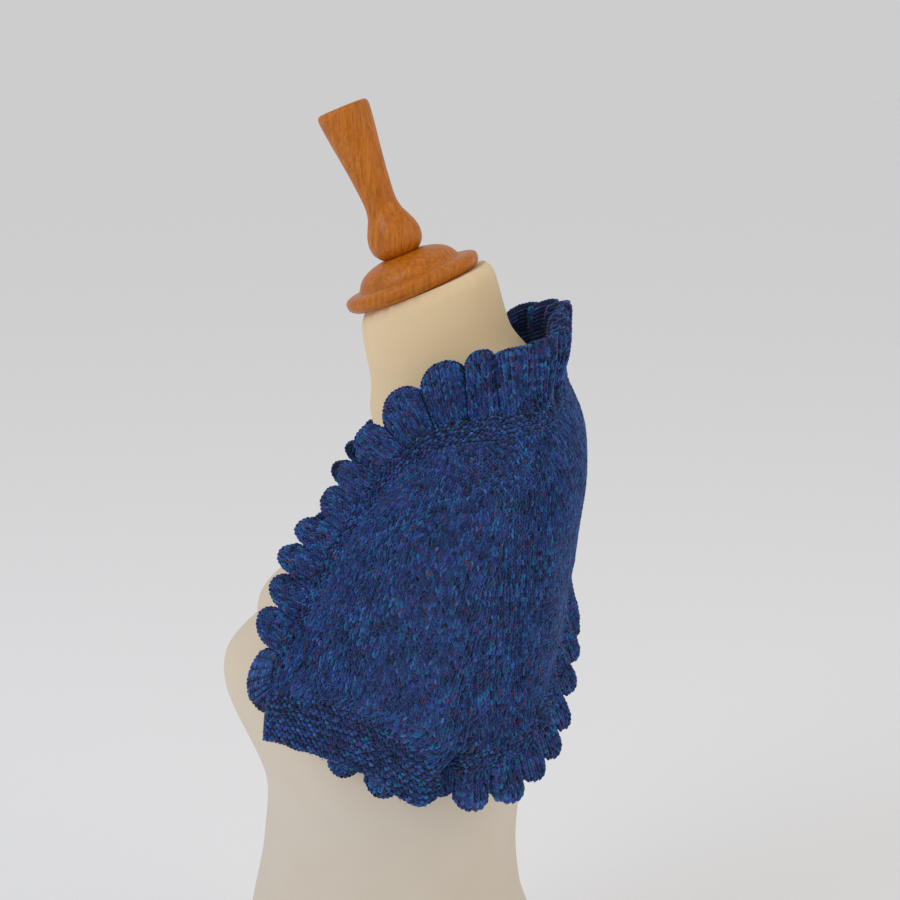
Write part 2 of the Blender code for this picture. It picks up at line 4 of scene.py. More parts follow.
import bpy
import numpy as np
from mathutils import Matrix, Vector


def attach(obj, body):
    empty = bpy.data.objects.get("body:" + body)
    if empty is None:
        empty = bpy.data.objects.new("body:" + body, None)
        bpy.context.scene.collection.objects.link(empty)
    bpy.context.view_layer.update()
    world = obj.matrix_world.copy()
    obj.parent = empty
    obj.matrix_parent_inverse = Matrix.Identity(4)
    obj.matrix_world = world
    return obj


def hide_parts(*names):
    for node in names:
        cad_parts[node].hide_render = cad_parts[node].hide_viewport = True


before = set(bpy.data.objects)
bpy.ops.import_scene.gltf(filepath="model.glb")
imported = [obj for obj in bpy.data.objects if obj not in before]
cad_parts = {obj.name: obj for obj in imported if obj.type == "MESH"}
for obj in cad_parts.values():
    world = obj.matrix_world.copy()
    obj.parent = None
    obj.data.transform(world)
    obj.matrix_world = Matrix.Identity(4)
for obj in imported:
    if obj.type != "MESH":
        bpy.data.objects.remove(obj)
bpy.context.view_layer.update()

# The studio: a pale floor that runs out of sight, one large soft light in front of the form and a weak one
# behind it, as beside a window.  The camera stands at the wearer's left, a little above the collar.
CAMERA_PLACE = (1.0966, 0.1333, 0.80)
CAMERA_DOWN, CAMERA_TURN = math.radians(13.5), math.radians(4.5)
CAMERA_LENS = 62.84
FLOOR_WHITE, AIR_GREY = "#FFFFFF", "#CDCDCE"
LIGHT_TARGET = Vector((0, 0, 0.45))
FLOOR_RADIUS, FLOOR_DROP = 60.0, 0.0006


def linear(hex_colour):
    """sRGB hex value as a linear colour."""
    parts = [int(hex_colour[i:i + 2], 16) / 255 for i in (1, 3, 5)]
    return tuple(c / 12.92 if c <= 0.04045 else ((c + 0.055) / 1.055) ** 2.4 for c in parts) + (1.0,)


def new_material(name, **sockets):
    """Material with constants on its shader's own sockets, spaces written as _, and its object coordinates."""
    material = bpy.data.materials.new(name)
    material.use_nodes = True
    shader = material.node_tree.nodes["Principled BSDF"]
    for socket, value in sockets.items():
        shader.inputs[socket.replace("_", " ")].default_value = value
    return material, add_node(material, "ShaderNodeTexCoord").outputs["Object"]


def add_node(material, kind, settings=None, inputs=None, feeds=None):
    """Node with its settings, its input values or links, and the shader's socket that its output feeds."""
    tree = material.node_tree
    made = tree.nodes.new(kind)
    for name, value in (settings or {}).items():
        setattr(made, name, value)
    for socket, value in (inputs or {}).items():
        if isinstance(value, bpy.types.NodeSocket):
            tree.links.new(value, made.inputs[socket])
        else:
            made.inputs[socket].default_value = value
    if feeds:
        output = next(out for out in made.outputs if out.enabled)
        tree.links.new(output, tree.nodes["Principled BSDF"].inputs[feeds])
    return made


def set_ramp(node, stops):
    """Colours of a colour ramp, as rows of place and hex or linear colour."""
    ramp = node.color_ramp
    while len(ramp.elements) < len(stops):
        ramp.elements.new(0.5)
    for element, (place, colour) in zip(ramp.elements, stops):
        element.position = place
        element.color = linear(colour) if isinstance(colour, str) else colour


bpy.ops.mesh.primitive_circle_add(vertices=128, radius=FLOOR_RADIUS, fill_type="NGON", location=(0, 0, -FLOOR_DROP))
floor = bpy.context.object
floor.name = "floor"
paper, place = new_material("matt_paper", Base_Color=linear(FLOOR_WHITE), Roughness=0.95)
tooth = add_node(paper, "ShaderNodeTexNoise", inputs={"Vector": place, "Scale": 900.0, "Detail": 2.0})
add_node(paper, "ShaderNodeBump", inputs={"Strength": 0.05, "Distance": 0.0002, "Height": tooth.outputs[0]},
         feeds="Normal")
floor.data.materials.append(paper)

scene = bpy.context.scene
world = bpy.data.worlds.new("studio_air")
world.use_nodes = True
air = world.node_tree.nodes["Background"].inputs
air["Color"].default_value, air["Strength"].default_value = linear(AIR_GREY), 1.0
scene.world = world
scene.view_settings.view_transform = "Standard"

LIGHTS = [("window_light", (1.5, -1.5, 1.9), 1.4, 16.0, "#E8EFFF"),
          ("room_light", (0.9, 2.0, 1.7), 1.6, 9.0, "#FFF0DC")]
for name, place, size, power, colour in LIGHTS:
    lamp = bpy.data.lights.new(name, "AREA")
    lamp.shape = "DISK"
    lamp.size, lamp.energy, lamp.color = size, power, linear(colour)[:3]
    holder = bpy.data.objects.new(name, lamp)
    holder.location = place
    holder.rotation_euler = (LIGHT_TARGET - Vector(place)).to_track_quat("-Z", "Y").to_euler()
    scene.collection.objects.link(holder)

camera = bpy.data.objects.new("camera", bpy.data.cameras.new("camera"))
camera.data.lens, camera.data.sensor_width = CAMERA_LENS, 36.0
camera.location = CAMERA_PLACE
level = math.cos(CAMERA_DOWN)
look = Vector((-level * math.cos(CAMERA_TURN), -level * math.sin(CAMERA_TURN), -math.sin(CAMERA_DOWN)))
camera.rotation_euler = look.to_track_quat("-Z", "Y").to_euler()
scene.collection.objects.link(camera)
scene.camera = camera

# The dress form: a padded limbless torso under a tight cover of fine cream jersey.
# The cover is drawn up over the neck and tucked in under the wooden cap.
MILLIMETRE = 0.001
FRONT_POWER, BACK_POWER = 2.2, 2.6
BUST_SIDE, BUST_HEIGHT, BUST_DEPTH, BUST_SPREAD, BUST_RISE, BUST_FALL = 80.0, 394.0, 44.0, 42.0, 43.0, 46.0
NECK_TOP, NECK_CENTRE = 654.0, 30.0
# Sections of the form: height, centre, depth in front and behind, half width and tilt
FORM_SECTIONS = np.array([
    (0, 8, 118, 118, 156, 0), (55, 8, 122, 122, 164, 0), (120, 4, 114, 114, 148, 0), (178, -2, 103, 103, 128, 0),
    (240, 2, 95, 95, 114, 0), (288, 7, 94, 94, 117, 0), (345, 12, 97, 99, 127, 0), (402, 17, 96, 104, 140, 0),
    (455, 26, 76, 105, 151, 2), (500, 34, 65, 105, 159, 5), (528, 43, 60, 98, 157, 9), (550, 50, 58, 84, 130, 15),
    (570, 52, 61, 71, 90, 20), (588, 46, 60, 60, 62, 23), (610, 40, 53, 52, 54, 22),
    (638, 33, 51, 51, 50, 22), (648, 31, 49.6, 49.6, 48.6, 22), (NECK_TOP, NECK_CENTRE, 45.5, 45.5, 44.5, 22),
], float)


def smooth_through(places, values, at):
    """Monotone cubic through the rows of a table."""
    places, values, at = (np.asarray(a, float) for a in (places, values, at))
    steps = np.diff(places)
    slopes = np.diff(values) / steps
    bends = np.zeros_like(values)
    bends[0], bends[-1] = slopes[0], slopes[-1]
    for i in range(1, len(places) - 1):
        if slopes[i - 1] * slopes[i] > 0:
            before, after = 2 * steps[i] + steps[i - 1], steps[i] + 2 * steps[i - 1]
            bends[i] = (before + after) / (before / slopes[i - 1] + after / slopes[i])
    row = np.clip(np.searchsorted(places, at) - 1, 0, len(places) - 2)
    part = (at - places[row]) / steps[row]
    rest = 1 - part
    return ((1 + 2 * part) * rest ** 2 * values[row] + part * rest ** 2 * steps[row] * bends[row]
            + part ** 2 * (3 - 2 * part) * values[row + 1] - part ** 2 * rest * steps[row] * bends[row + 1])


def in_table(rows, column, at):
    """Value of one column of a table; its first column is the place."""
    return smooth_through(rows[:, 0], rows[:, column], at)


def form_point(turn, height, ease_back=0.0, ease_side=0.0, ease_front=0.0):
    """Point of a rounded, tilted section of the form, let out by the eases."""
    centre, front, back, half_width, tilt = (in_table(FORM_SECTIONS, k, height) for k in range(1, 6))
    sine, cosine = np.sin(np.radians(turn)), np.cos(np.radians(turn))
    depth = np.where(sine > 0, back + ease_back, front + ease_front)
    width = half_width + ease_side
    power = np.where(sine > 0, BACK_POWER, FRONT_POWER)
    radius = (np.abs(cosine / width) ** power + np.abs(sine / depth) ** power) ** (-1 / power)
    x = radius * cosine
    y = centre + radius * sine * np.cos(np.radians(tilt))
    z = height + radius * sine * np.sin(np.radians(tilt))
    spread = np.where(z > BUST_HEIGHT, BUST_RISE, BUST_FALL)
    bust = sum(np.exp(-((x - side * BUST_SIDE) / BUST_SPREAD) ** 2 / 2) for side in (-1, 1))
    bust = bust * np.exp(-((z - BUST_HEIGHT) / spread) ** 2 / 2) * np.sqrt(np.clip(-sine, 0, 1))
    return np.stack([x, y - BUST_DEPTH * bust, z], -1)


def laid_grid(name, points):
    """Primitive grid whose corners are laid on the given points [across][along], in millimetres."""
    across, along = points.shape[:2]
    bpy.ops.mesh.primitive_grid_add(x_subdivisions=across - 1, y_subdivisions=along - 1, size=1.0)
    piece = bpy.context.object
    piece.name = piece.data.name = name
    verts = piece.data.vertices
    flat = np.empty(len(verts) * 3)
    verts.foreach_get("co", flat)
    i, j = np.rint((flat.reshape(-1, 3)[:, :2] + 0.5) * (across - 1, along - 1)).astype(int).T
    verts.foreach_set("co", (points[i, j] * MILLIMETRE).ravel())
    piece.data.update()
    return piece


def close_up(piece, ends=()):
    """Merge the seam of a piece, fill its open ends, given by lowest and highest, and turn its faces outwards."""
    bpy.ops.object.mode_set(mode="EDIT")
    bpy.ops.mesh.select_all(action="SELECT")
    bpy.ops.mesh.remove_doubles(threshold=0.00002)
    for lowest, highest in ends:
        bpy.ops.mesh.select_all(action="DESELECT")
        bpy.ops.mesh.select_non_manifold()
        bpy.ops.object.mode_set(mode="OBJECT")
        for vertex in piece.data.vertices:
            vertex.select = vertex.select and lowest <= vertex.co.z <= highest
        bpy.ops.object.mode_set(mode="EDIT")
        bpy.ops.mesh.edge_face_add()
    bpy.ops.mesh.select_all(action="SELECT")
    bpy.ops.mesh.normals_make_consistent(inside=False)
    bpy.ops.object.mode_set(mode="OBJECT")


def unit(vectors):
    """The vectors at length one."""
    return vectors / np.maximum(np.linalg.norm(vectors, axis=-1, keepdims=True), 1e-9)


TORSO_TURNS, TORSO_ROWS = 176, 190
TUCK_DEPTH, TUCK_DRAW, TUCK_GATHER = 22.0, 0.6, 0.8
GATHER_WAVES = [(23, 0.0), (37, 1.3)]
turns = np.linspace(0, 360, TORSO_TURNS + 1)
heights = np.linspace(0, NECK_TOP, TORSO_ROWS + 1)
torso_points = form_point(turns[:, None], np.repeat(heights[None], len(turns), 0))
tuck = np.clip((heights - NECK_TOP + TUCK_DEPTH) / TUCK_DEPTH, 0, 1) ** 2
gather = sum(0.5 * np.sin(np.radians(turns) * waves + start) for waves, start in GATHER_WAVES)
outward = torso_points - torso_points.mean(0)
outward[..., 2] = 0
torso_points += unit(outward) * (gather[:, None] * tuck * TUCK_GATHER - TUCK_DRAW * tuck)[..., None]
torso_points[-1] = torso_points[0]
torso = laid_grid("dress_form_torso", torso_points)
close_up(torso, ends=[(-0.01, 0.01), (0.6, 0.7)])
bpy.ops.object.shade_smooth_by_angle(angle=math.radians(40))

# Cotton jersey: matt, with a grain about 1.1 mm wide, drawn that coarse so that it shows, a warm mottle some 140 mm
# wide, and more yellow towards the neck, where it has aged.
MULTIPLY = {"data_type": "RGBA", "blend_type": "MULTIPLY"}
jersey, place = new_material("cotton_jersey", Roughness=0.88, Sheen_Weight=0.12)
mottle = add_node(jersey, "ShaderNodeTexNoise", inputs={"Vector": place, "Scale": 7.0, "Detail": 3.0})
mottle_shade = add_node(jersey, "ShaderNodeValToRGB", inputs={"Fac": mottle.outputs[0]})
set_ramp(mottle_shade, [(0.30, "#F4EFE8"), (0.70, "#FFFFFF")])
upright = add_node(jersey, "ShaderNodeSeparateXYZ", inputs={"Vector": place}).outputs["Z"]
yellowed = add_node(jersey, "ShaderNodeMapRange", inputs={"Value": upright, "From Min": 0.30, "From Max": 0.62})
tone = add_node(jersey, "ShaderNodeValToRGB", inputs={"Fac": yellowed.outputs[0]})
set_ramp(tone, [(0.0, "#DCD3C4"), (1.0, "#ECD4AA")])
add_node(jersey, "ShaderNodeMix", MULTIPLY,
         {0: 1.0, 6: tone.outputs[0], 7: mottle_shade.outputs[0]}, "Base Color")
grain = add_node(jersey, "ShaderNodeTexNoise", inputs={"Vector": place, "Scale": 900.0, "Detail": 1.0})
add_node(jersey, "ShaderNodeBump", inputs={"Strength": 0.12, "Distance": 0.0004, "Height": grain.outputs[0]},
         feeds="Normal")
torso.data.materials.append(jersey)
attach(torso, "root")
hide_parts("form_torso")

# The neck cap and the handle: beech turned on a lathe, stained orange-brown and varnished.
# The cap is screwed to the neck board, and the handle screws into the cap, a little out of line.
CAP_TILT, HANDLE_TILT = 22.0, 22.0
CAP_PROFILE = np.array([
    (0.3, 43.5), (1.4, 46), (5.2, 49.3), (8.4, 49.5), (11, 47.6), (12.2, 43.5), (12.6, 38.6), (14.6, 36.8),
    (18.2, 34.6), (22, 30.4), (25, 24), (27, 16)])
HANDLE_PROFILE = np.array([
    (26.9, 12.4), (27.8, 13.7), (30, 16), (34, 18.4), (39.5, 19.2), (46, 18), (52.5, 15.2), (59, 12.4), (66, 11.4),
    (82, 12.6), (104, 15.3), (123, 17.9), (132, 18.7), (134.6, 18), (135.5, 16.4)])
CAP_CENTRE = 23.0


def run_along(points):
    """Length along a line of points, from its start to each of them."""
    return np.concatenate([[0], np.cumsum(np.linalg.norm(np.diff(points, axis=0), axis=1))])


def turned(name, profile, tilt_degrees):
    """Lathe form: a disc drawn up and opened or closed ring by ring, then leaned on the neck."""
    places = run_along(profile)
    fine = np.linspace(0, places[-1], 64)
    along = smooth_through(places, profile[:, 0], fine) * MILLIMETRE
    radius = smooth_through(places, profile[:, 1], fine) * MILLIMETRE
    bpy.ops.mesh.primitive_circle_add(vertices=96, radius=radius[0], fill_type="NGON", location=(0, 0, 0))
    piece = bpy.context.object
    piece.name = piece.data.name = name
    bpy.ops.object.mode_set(mode="EDIT")
    bpy.ops.mesh.select_all(action="SELECT")
    bpy.ops.transform.translate(value=(0, 0, along[0]))
    for k in range(1, len(fine)):
        bpy.ops.mesh.extrude_region_move(TRANSFORM_OT_translate={"value": (0, 0, along[k] - along[k - 1])})
        scale = radius[k] / radius[k - 1]
        bpy.ops.transform.resize(value=(scale, scale, 1), center_override=(0, 0, along[k]))
    close_up(piece)
    lean, tilt, joint = math.radians(CAP_TILT), math.radians(tilt_degrees), float(CAP_PROFILE[-1, 0]) * MILLIMETRE
    seat = NECK_TOP + (CAP_CENTRE - NECK_CENTRE) * math.tan(lean)
    cap_axis, own_axis = (Vector((0, -math.sin(a), math.cos(a))) for a in (lean, tilt))
    foot = Vector((0, CAP_CENTRE * MILLIMETRE, seat * MILLIMETRE)) + joint * cap_axis - joint * own_axis
    piece.location, piece.rotation_euler = foot, (tilt, 0, 0)
    bpy.ops.object.transform_apply(location=True, rotation=True, scale=True)
    bpy.ops.object.shade_smooth_by_angle(angle=math.radians(50))
    return piece


# Stained beech: warm orange-brown, streaked along the axis about every 3 mm, with short pores under 1 mm wide
# and a satin varnish.
beech, place = new_material("varnished_beech", Coat_Weight=0.10, Coat_Roughness=0.2, Specular_IOR_Level=0.25)
grain_line = add_node(beech, "ShaderNodeMapping", inputs={
    "Vector": place, "Rotation": (-math.radians(20), 0, 0), "Scale": (1.0, 1.0, 0.09)}).outputs[0]
streaks = add_node(beech, "ShaderNodeTexNoise", inputs={
    "Vector": grain_line, "Scale": 330.0, "Detail": 4.0, "Distortion": 0.4})
wood_tone = add_node(beech, "ShaderNodeValToRGB", inputs={"Fac": streaks.outputs[0]})
set_ramp(wood_tone, [(0.25, "#A65A0A"), (0.5, "#BF6C12"), (0.75, "#CF8024")])
pores = add_node(beech, "ShaderNodeTexNoise", inputs={"Vector": grain_line, "Scale": 1500.0, "Detail": 2.0})
pore_shade = add_node(beech, "ShaderNodeValToRGB", inputs={"Fac": pores.outputs[0]})
set_ramp(pore_shade, [(0.30, "#BFA283"), (0.46, "#FFFFFF")])
add_node(beech, "ShaderNodeMix", MULTIPLY,
         {0: 0.8, 6: wood_tone.outputs[0], 7: pore_shade.outputs[0]}, "Base Color")
add_node(beech, "ShaderNodeMapRange", inputs={"Value": streaks.outputs[0], "To Min": 0.34, "To Max": 0.5},
         feeds="Roughness")
add_node(beech, "ShaderNodeBump", inputs={"Strength": 0.15, "Distance": 0.0003, "Height": streaks.outputs[0]},
         feeds="Normal")

TURNED_PIECES = [("neck_cap", CAP_PROFILE, CAP_TILT), ("neck_handle", HANDLE_PROFILE, HANDLE_TILT)]
for node_name, profile, tilt_degrees in TURNED_PIECES:
    wood = turned("turned_" + node_name, profile, tilt_degrees)
    wood.data.materials.append(beech)
    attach(wood, "root")
    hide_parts(node_name)

# The back panel: hand-knit stocking stitch in a blue tweed wool, worked from the neck down to the arched hem.
# The ground is a thin shell on the line of the cloth; every stitch on it is two plump legs of yarn that make a V.
EASE_ROWS = np.array([
    (320, 20, 50, 44), (360, 15, 47, 42), (400, 7, 41, 36), (440, 4, 33, 12), (470, 3.4, 27, 6), (500, 3.2, 19, 5),
    (528, 3.2, 10, 4), (550, 3.4, 5.5, 4), (570, 4.5, 4.5, 4), (588, 8, 4.5, 4), (610, 10, 5, 5)], float)
# The edge that carries the border, down the left half: turn, height, depth under the sleeve, lean of the band and of
# the lobes, width of the band and of the lobes, and how deep the lobes are notched
EDGE_ROWS = np.array([
    (90, 560, 0, 5, 31, 18, 36, 0.14), (70, 557, 0, 9, 33, 18, 38, 0.14), (51, 554, 0, 14, 39, 18, 41, 0.14),
    (37, 553, 0, 17, 43, 18, 43, 0.14), (22, 557, 0, 18, 45, 18, 42, 0.14), (8, 562, 0, 16, 43, 18, 40, 0.15),
    (-3, 562.5, 0, 12, 36, 18, 36, 0.2), (-11, 556, 0, 9, 27, 17, 31, 0.3), (-15, 541, 0, 7, 26, 16, 29, 0.34),
    (-16.7, 521, 0, 6, 28, 16, 29, 0.34), (-18, 497, 0, 6, 30, 16, 29, 0.34), (-20, 474, 0.2, 5, 32, 16, 30, 0.34),
    (-22, 452, 0.8, 0, 28, 15, 27, 0.34), (-23.5, 432, 3.4, -7, -2, 15, 23, 0.34),
    (-22.3, 425, 12, -16, -23, 17, 26, 0.34), (-17, 416, 20, -18, -24, 18, 28, 0.34),
    (-9, 404, 25, -15, -8, 18, 38, 0.34), (1, 391, 26.5, -15, -8, 18, 38, 0.34),
    (9, 384, 26, -15, -14, 17, 33, 0.34), (14, 381, 20, -14, -20, 16, 26, 0.34),
    (16.5, 380, 3.4, -6, -10, 15, 23, 0.34), (22, 378.5, 0.5, 2, 4, 15, 23, 0.34),
    (30, 378.5, 0, 5, 14, 15, 23, 0.34), (41, 384, 0, 5, 15, 15, 23, 0.34), (53, 400, 0, 6, 16, 15, 24, 0.34),
    (64, 420, 0, 7, 18, 16, 25, 0.34), (75, 438, 0, 8, 20, 17, 26, 0.34), (84, 448, 0, 8, 20, 17, 26, 0.34),
    (90, 450, 0, 8, 20, 17, 26, 0.34)], float)
FRONT_FOLD_ROW, REAR_FOLD_ROW, LAST_ROW = 13, 20, len(EDGE_ROWS) - 1
BACK_SEAM, BACK_SEAM_TOP_TURN = [(18.3, 525), (17.6, 480), (17, 430)], 19.5
SEAM_GAP, SHELL = 0.5, 1.3
# Soft creases: ends of each as turn and height, its width and how far it stands out, negative for a trough.
# Each dies away by CREASE_FADE towards its second end, and a degree of turn is about TURN_LENGTH mm.
CREASE_FADE, TURN_LENGTH = 0.75, 3.0
CREASES = [
    (16.4, 384, 19.5, 458, 5, -4.2), (11.5, 398, 12.5, 455, 9, 2.4), (6.0, 412, 9.0, 470, 7, -1.5),
    (-18.5, 418, -13.0, 478, 7, 2.0), (-14.0, 418, -8.0, 486, 6, -1.8), (-6.0, 425, 1.0, 505, 9, 1.2),
    (22.5, 392, 24.0, 440, 7, 1.8), (29.0, 390, 27.0, 452, 7, -1.3), (46.0, 420, 34.0, 470, 9, 1.2),
    (58.0, 440, 42.0, 500, 8, -0.8), (72.0, 462, 56.0, 520, 8, 0.9)]


def crease_height(turn, height):
    """How far the cloth stands out or in for its soft creases."""
    total = np.zeros(np.broadcast(turn, height).shape)
    for turn_a, height_a, turn_b, height_b, width, stand in CREASES:
        run_x, run_y = TURN_LENGTH * (turn_b - turn_a), height_b - height_a
        at_x, at_y = TURN_LENGTH * (turn - turn_a), height - height_a
        long = run_x ** 2 + run_y ** 2
        share = np.clip((at_x * run_x + at_y * run_y) / long, 0, 1)
        away = (at_x - share * run_x) ** 2 + (at_y - share * run_y) ** 2
        total += stand * (1 - CREASE_FADE * share) * np.exp(-away / (2 * width ** 2))
    return total


def plain_cloth(turn, height):
    """Point of the cloth as it lies over the form, without its creases."""
    return form_point(turn, height, *(in_table(EASE_ROWS, k, height) for k in (1, 2, 3)))


def cloth_normal(turn, height):
    """Outward direction of the cloth."""
    round_it = plain_cloth(turn + 0.5, height) - plain_cloth(turn - 0.5, height)
    up_it = plain_cloth(turn, height + 0.5) - plain_cloth(turn, height - 0.5)
    return unit(np.cross(round_it, up_it))


def under_cloth(turn, height, inset=0.0):
    """Point of the cloth with its creases, or at a depth under it."""
    stand = crease_height(turn, height) - inset
    return plain_cloth(turn, height) + cloth_normal(turn, height) * stand[..., None]


def spline_through(rows, at, before=None, after=None):
    """Rounded curve through whole rows; at counts rows."""
    rows = np.asarray(rows, float)
    before = 2 * rows[0] - rows[1] if before is None else before
    after = 2 * rows[-1] - rows[-2] if after is None else after
    padded = np.vstack([before, rows, after])
    row = np.clip(np.floor(at).astype(int), 0, len(rows) - 2)
    part = (at - row)[..., None]
    a, b, c, d = (padded[row + k] for k in range(4))
    bend, twist = 2 * a - 5 * b + 4 * c - d, 3 * b - a - 3 * c + d
    return 0.5 * (2 * b + (c - a) * part + bend * part ** 2 + twist * part ** 3)


def edge_row(at):
    """Row of the edge table; both ends meet their mirror image at the middle of the back."""
    before, after = EDGE_ROWS[1].copy(), EDGE_ROWS[-2].copy()
    before[0], after[0] = 180 - before[0], 180 - after[0]
    return spline_through(EDGE_ROWS, at, before, after)


def edge_points(at):
    """Points of the edge that carries the border."""
    rows = edge_row(at)
    return under_cloth(rows[:, 0], rows[:, 1], rows[:, 2])


def square_to(axes, vectors):
    """The vectors turned square to their axes, at length one."""
    return unit(vectors - axes * np.sum(vectors * axes, axis=1, keepdims=True))


def border_frame(at):
    """Edge point, outward and fall directions, and the foot of the lobes, at places along the edge."""
    rows, points = edge_row(at), edge_points(at)
    run = edge_points(np.clip(at + 0.12, 0, LAST_ROW)) - edge_points(np.clip(at - 0.12, 0, LAST_ROW))
    run[(at < 1e-6) | (at > LAST_ROW - 1e-6)] *= np.array([1, 0, 0])
    run = unit(run)
    out = square_to(run, cloth_normal(rows[:, 0], rows[:, 1]))
    fall = np.cross(run, out)
    lean = np.radians(rows[:, 3:4])
    foot = points + (np.cos(lean) * fall + np.sin(lean) * out) * (rows[:, 5:6] + 2 * SEAM_GAP)
    return points, out, fall, foot


def even_places(first, last, count, foot=False):
    """Places along the edge, evenly spaced in length on the edge or on the foot of its lobes."""
    fine = np.linspace(first, last, 600)
    points = border_frame(fine)[3] if foot else edge_points(fine)
    run = run_along(points)
    return np.interp(np.linspace(0, run[-1], count), run, fine)


def seam_line(count):
    """Turn and height down the back seam, from the neck edge to the fold under the arm."""
    start, end = edge_row(np.array([SEAM_TOP, REAR_FOLD_ROW]))[:, :2]
    points = [start, *BACK_SEAM, end]
    return spline_through(points, np.linspace(0, len(points) - 1, count))


def fan(top, low, near, far, share, part):
    """Turn and height inside four edge lines, at a share across and a part down; all lines have even points."""
    def along(line, at):
        places = np.linspace(0, 1, len(line))
        return np.stack([np.interp(at, places, line[:, k]) for k in range(2)], -1)
    s, t = share[..., None], part[..., None]
    corners = (1 - s) * (1 - t) * top[0] + s * (1 - t) * top[-1] + (1 - s) * t * low[0] + s * t * low[-1]
    return ((1 - s) * along(near, part) + s * along(far, part) + (1 - t) * along(top, share) + t * along(low, share)
            - corners)


MIRROR = np.array([-1.0, 1.0, 1.0])


def with_mirror(grid):
    """Grid whose first line lies on the middle plane, joined to its mirror image."""
    return np.concatenate([grid[:0:-1] * MIRROR, grid])


def surface_grid(surface, across, down):
    """Points of a surface at even shares across and down."""
    return surface(*np.meshgrid(np.linspace(0, 1, across), np.linspace(0, 1, down), indexing="ij"))


def thin_shell(name, points, thickness=SHELL):
    """Thin closed shell, its middle on a grid of points."""
    piece = laid_grid(name, points)
    close_up(piece)
    wall = piece.modifiers.new("wall", "SOLIDIFY")
    wall.thickness, wall.offset = thickness * MILLIMETRE, 0.0
    bpy.ops.object.modifier_apply(modifier="wall")
    bpy.ops.object.shade_smooth()
    return piece


def on_surface(surface, across, down, face=1.0, step=0.004):
    """Points, rates across and down, and normals of a surface of two shares; face -1 turns the normals over."""
    points = surface(across, down)
    low_u, high_u = np.clip(across - step, 0, 1), np.clip(across + step, 0, 1)
    low_v, high_v = np.clip(down - step, 0, 1), np.clip(down + step, 0, 1)
    by_u = (surface(high_u, down) - surface(low_u, down)) / (high_u - low_u)[:, None]
    by_v = (surface(across, high_v) - surface(across, low_v)) / (high_v - low_v)[:, None]
    return points, by_u, by_v, unit(np.cross(by_u, by_v)) * face


def grains(centre, along, out, length, width, height):
    """Batch of plump strands: place, direction, outward direction and sizes, one row each."""
    count = len(centre)
    sizes = np.stack([np.broadcast_to(a, count) for a in (length, width, height)], 1)
    along = unit(along)
    return np.concatenate([centre, along, square_to(along, out), sizes], 1)


def mirrored(batch):
    """The same strands on the other side of the form."""
    return np.concatenate([batch[:, :9] * np.tile(MIRROR, 3), batch[:, 9:]], 1)


SIDES = [("left", np.ones(3), np.copy), ("right", MIRROR, mirrored)]
YARN = [("#2A4E96", 0.28), ("#1A2C60", 0.22), ("#1E6A98", 0.16), ("#3A3A80", 0.14), ("#3E6CB0", 0.08),
        ("#121C3C", 0.06), ("#63383F", 0.02), ("#5A3266", 0.025)]
YARN_DEPTH, YARN_MIX, YARN_SHADE, DYE_DRIFT = 0.92, (0.5, 1.12), (0.6, 1.4), 0.35
DYE_WAVES = [(0.05, 0.11, 0.16), (0.09, -0.14, 0.21), (-0.04, 0.23, 0.07), (0.13, 0.05, -0.27)]
yarn_dice = np.random.default_rng(20)


def yarn_colours(places):
    """Tweed colours, one for each strand: mostly blue and navy, with teal, violet and rust flecks.

    The dye drifts along the yarn, so that the cloth is lighter and darker in patches some 30 mm wide."""
    count = len(places)
    drift = sum(np.sin(places @ np.array(wave)) for wave in DYE_WAVES)[:, None] / len(DYE_WAVES)
    colours = np.array([linear(c)[:3] for c, _ in YARN])
    weights = np.array([w for _, w in YARN]) / sum(w for _, w in YARN)
    middle = weights @ colours
    pick = yarn_dice.choice(len(YARN), count, p=weights)
    mixed = np.maximum(middle + (colours[pick] - middle) * yarn_dice.uniform(*YARN_MIX, (count, 1)), 0.002)
    return YARN_DEPTH * mixed * yarn_dice.uniform(*YARN_SHADE, (count, 1)) * (1 + DYE_DRIFT * drift)


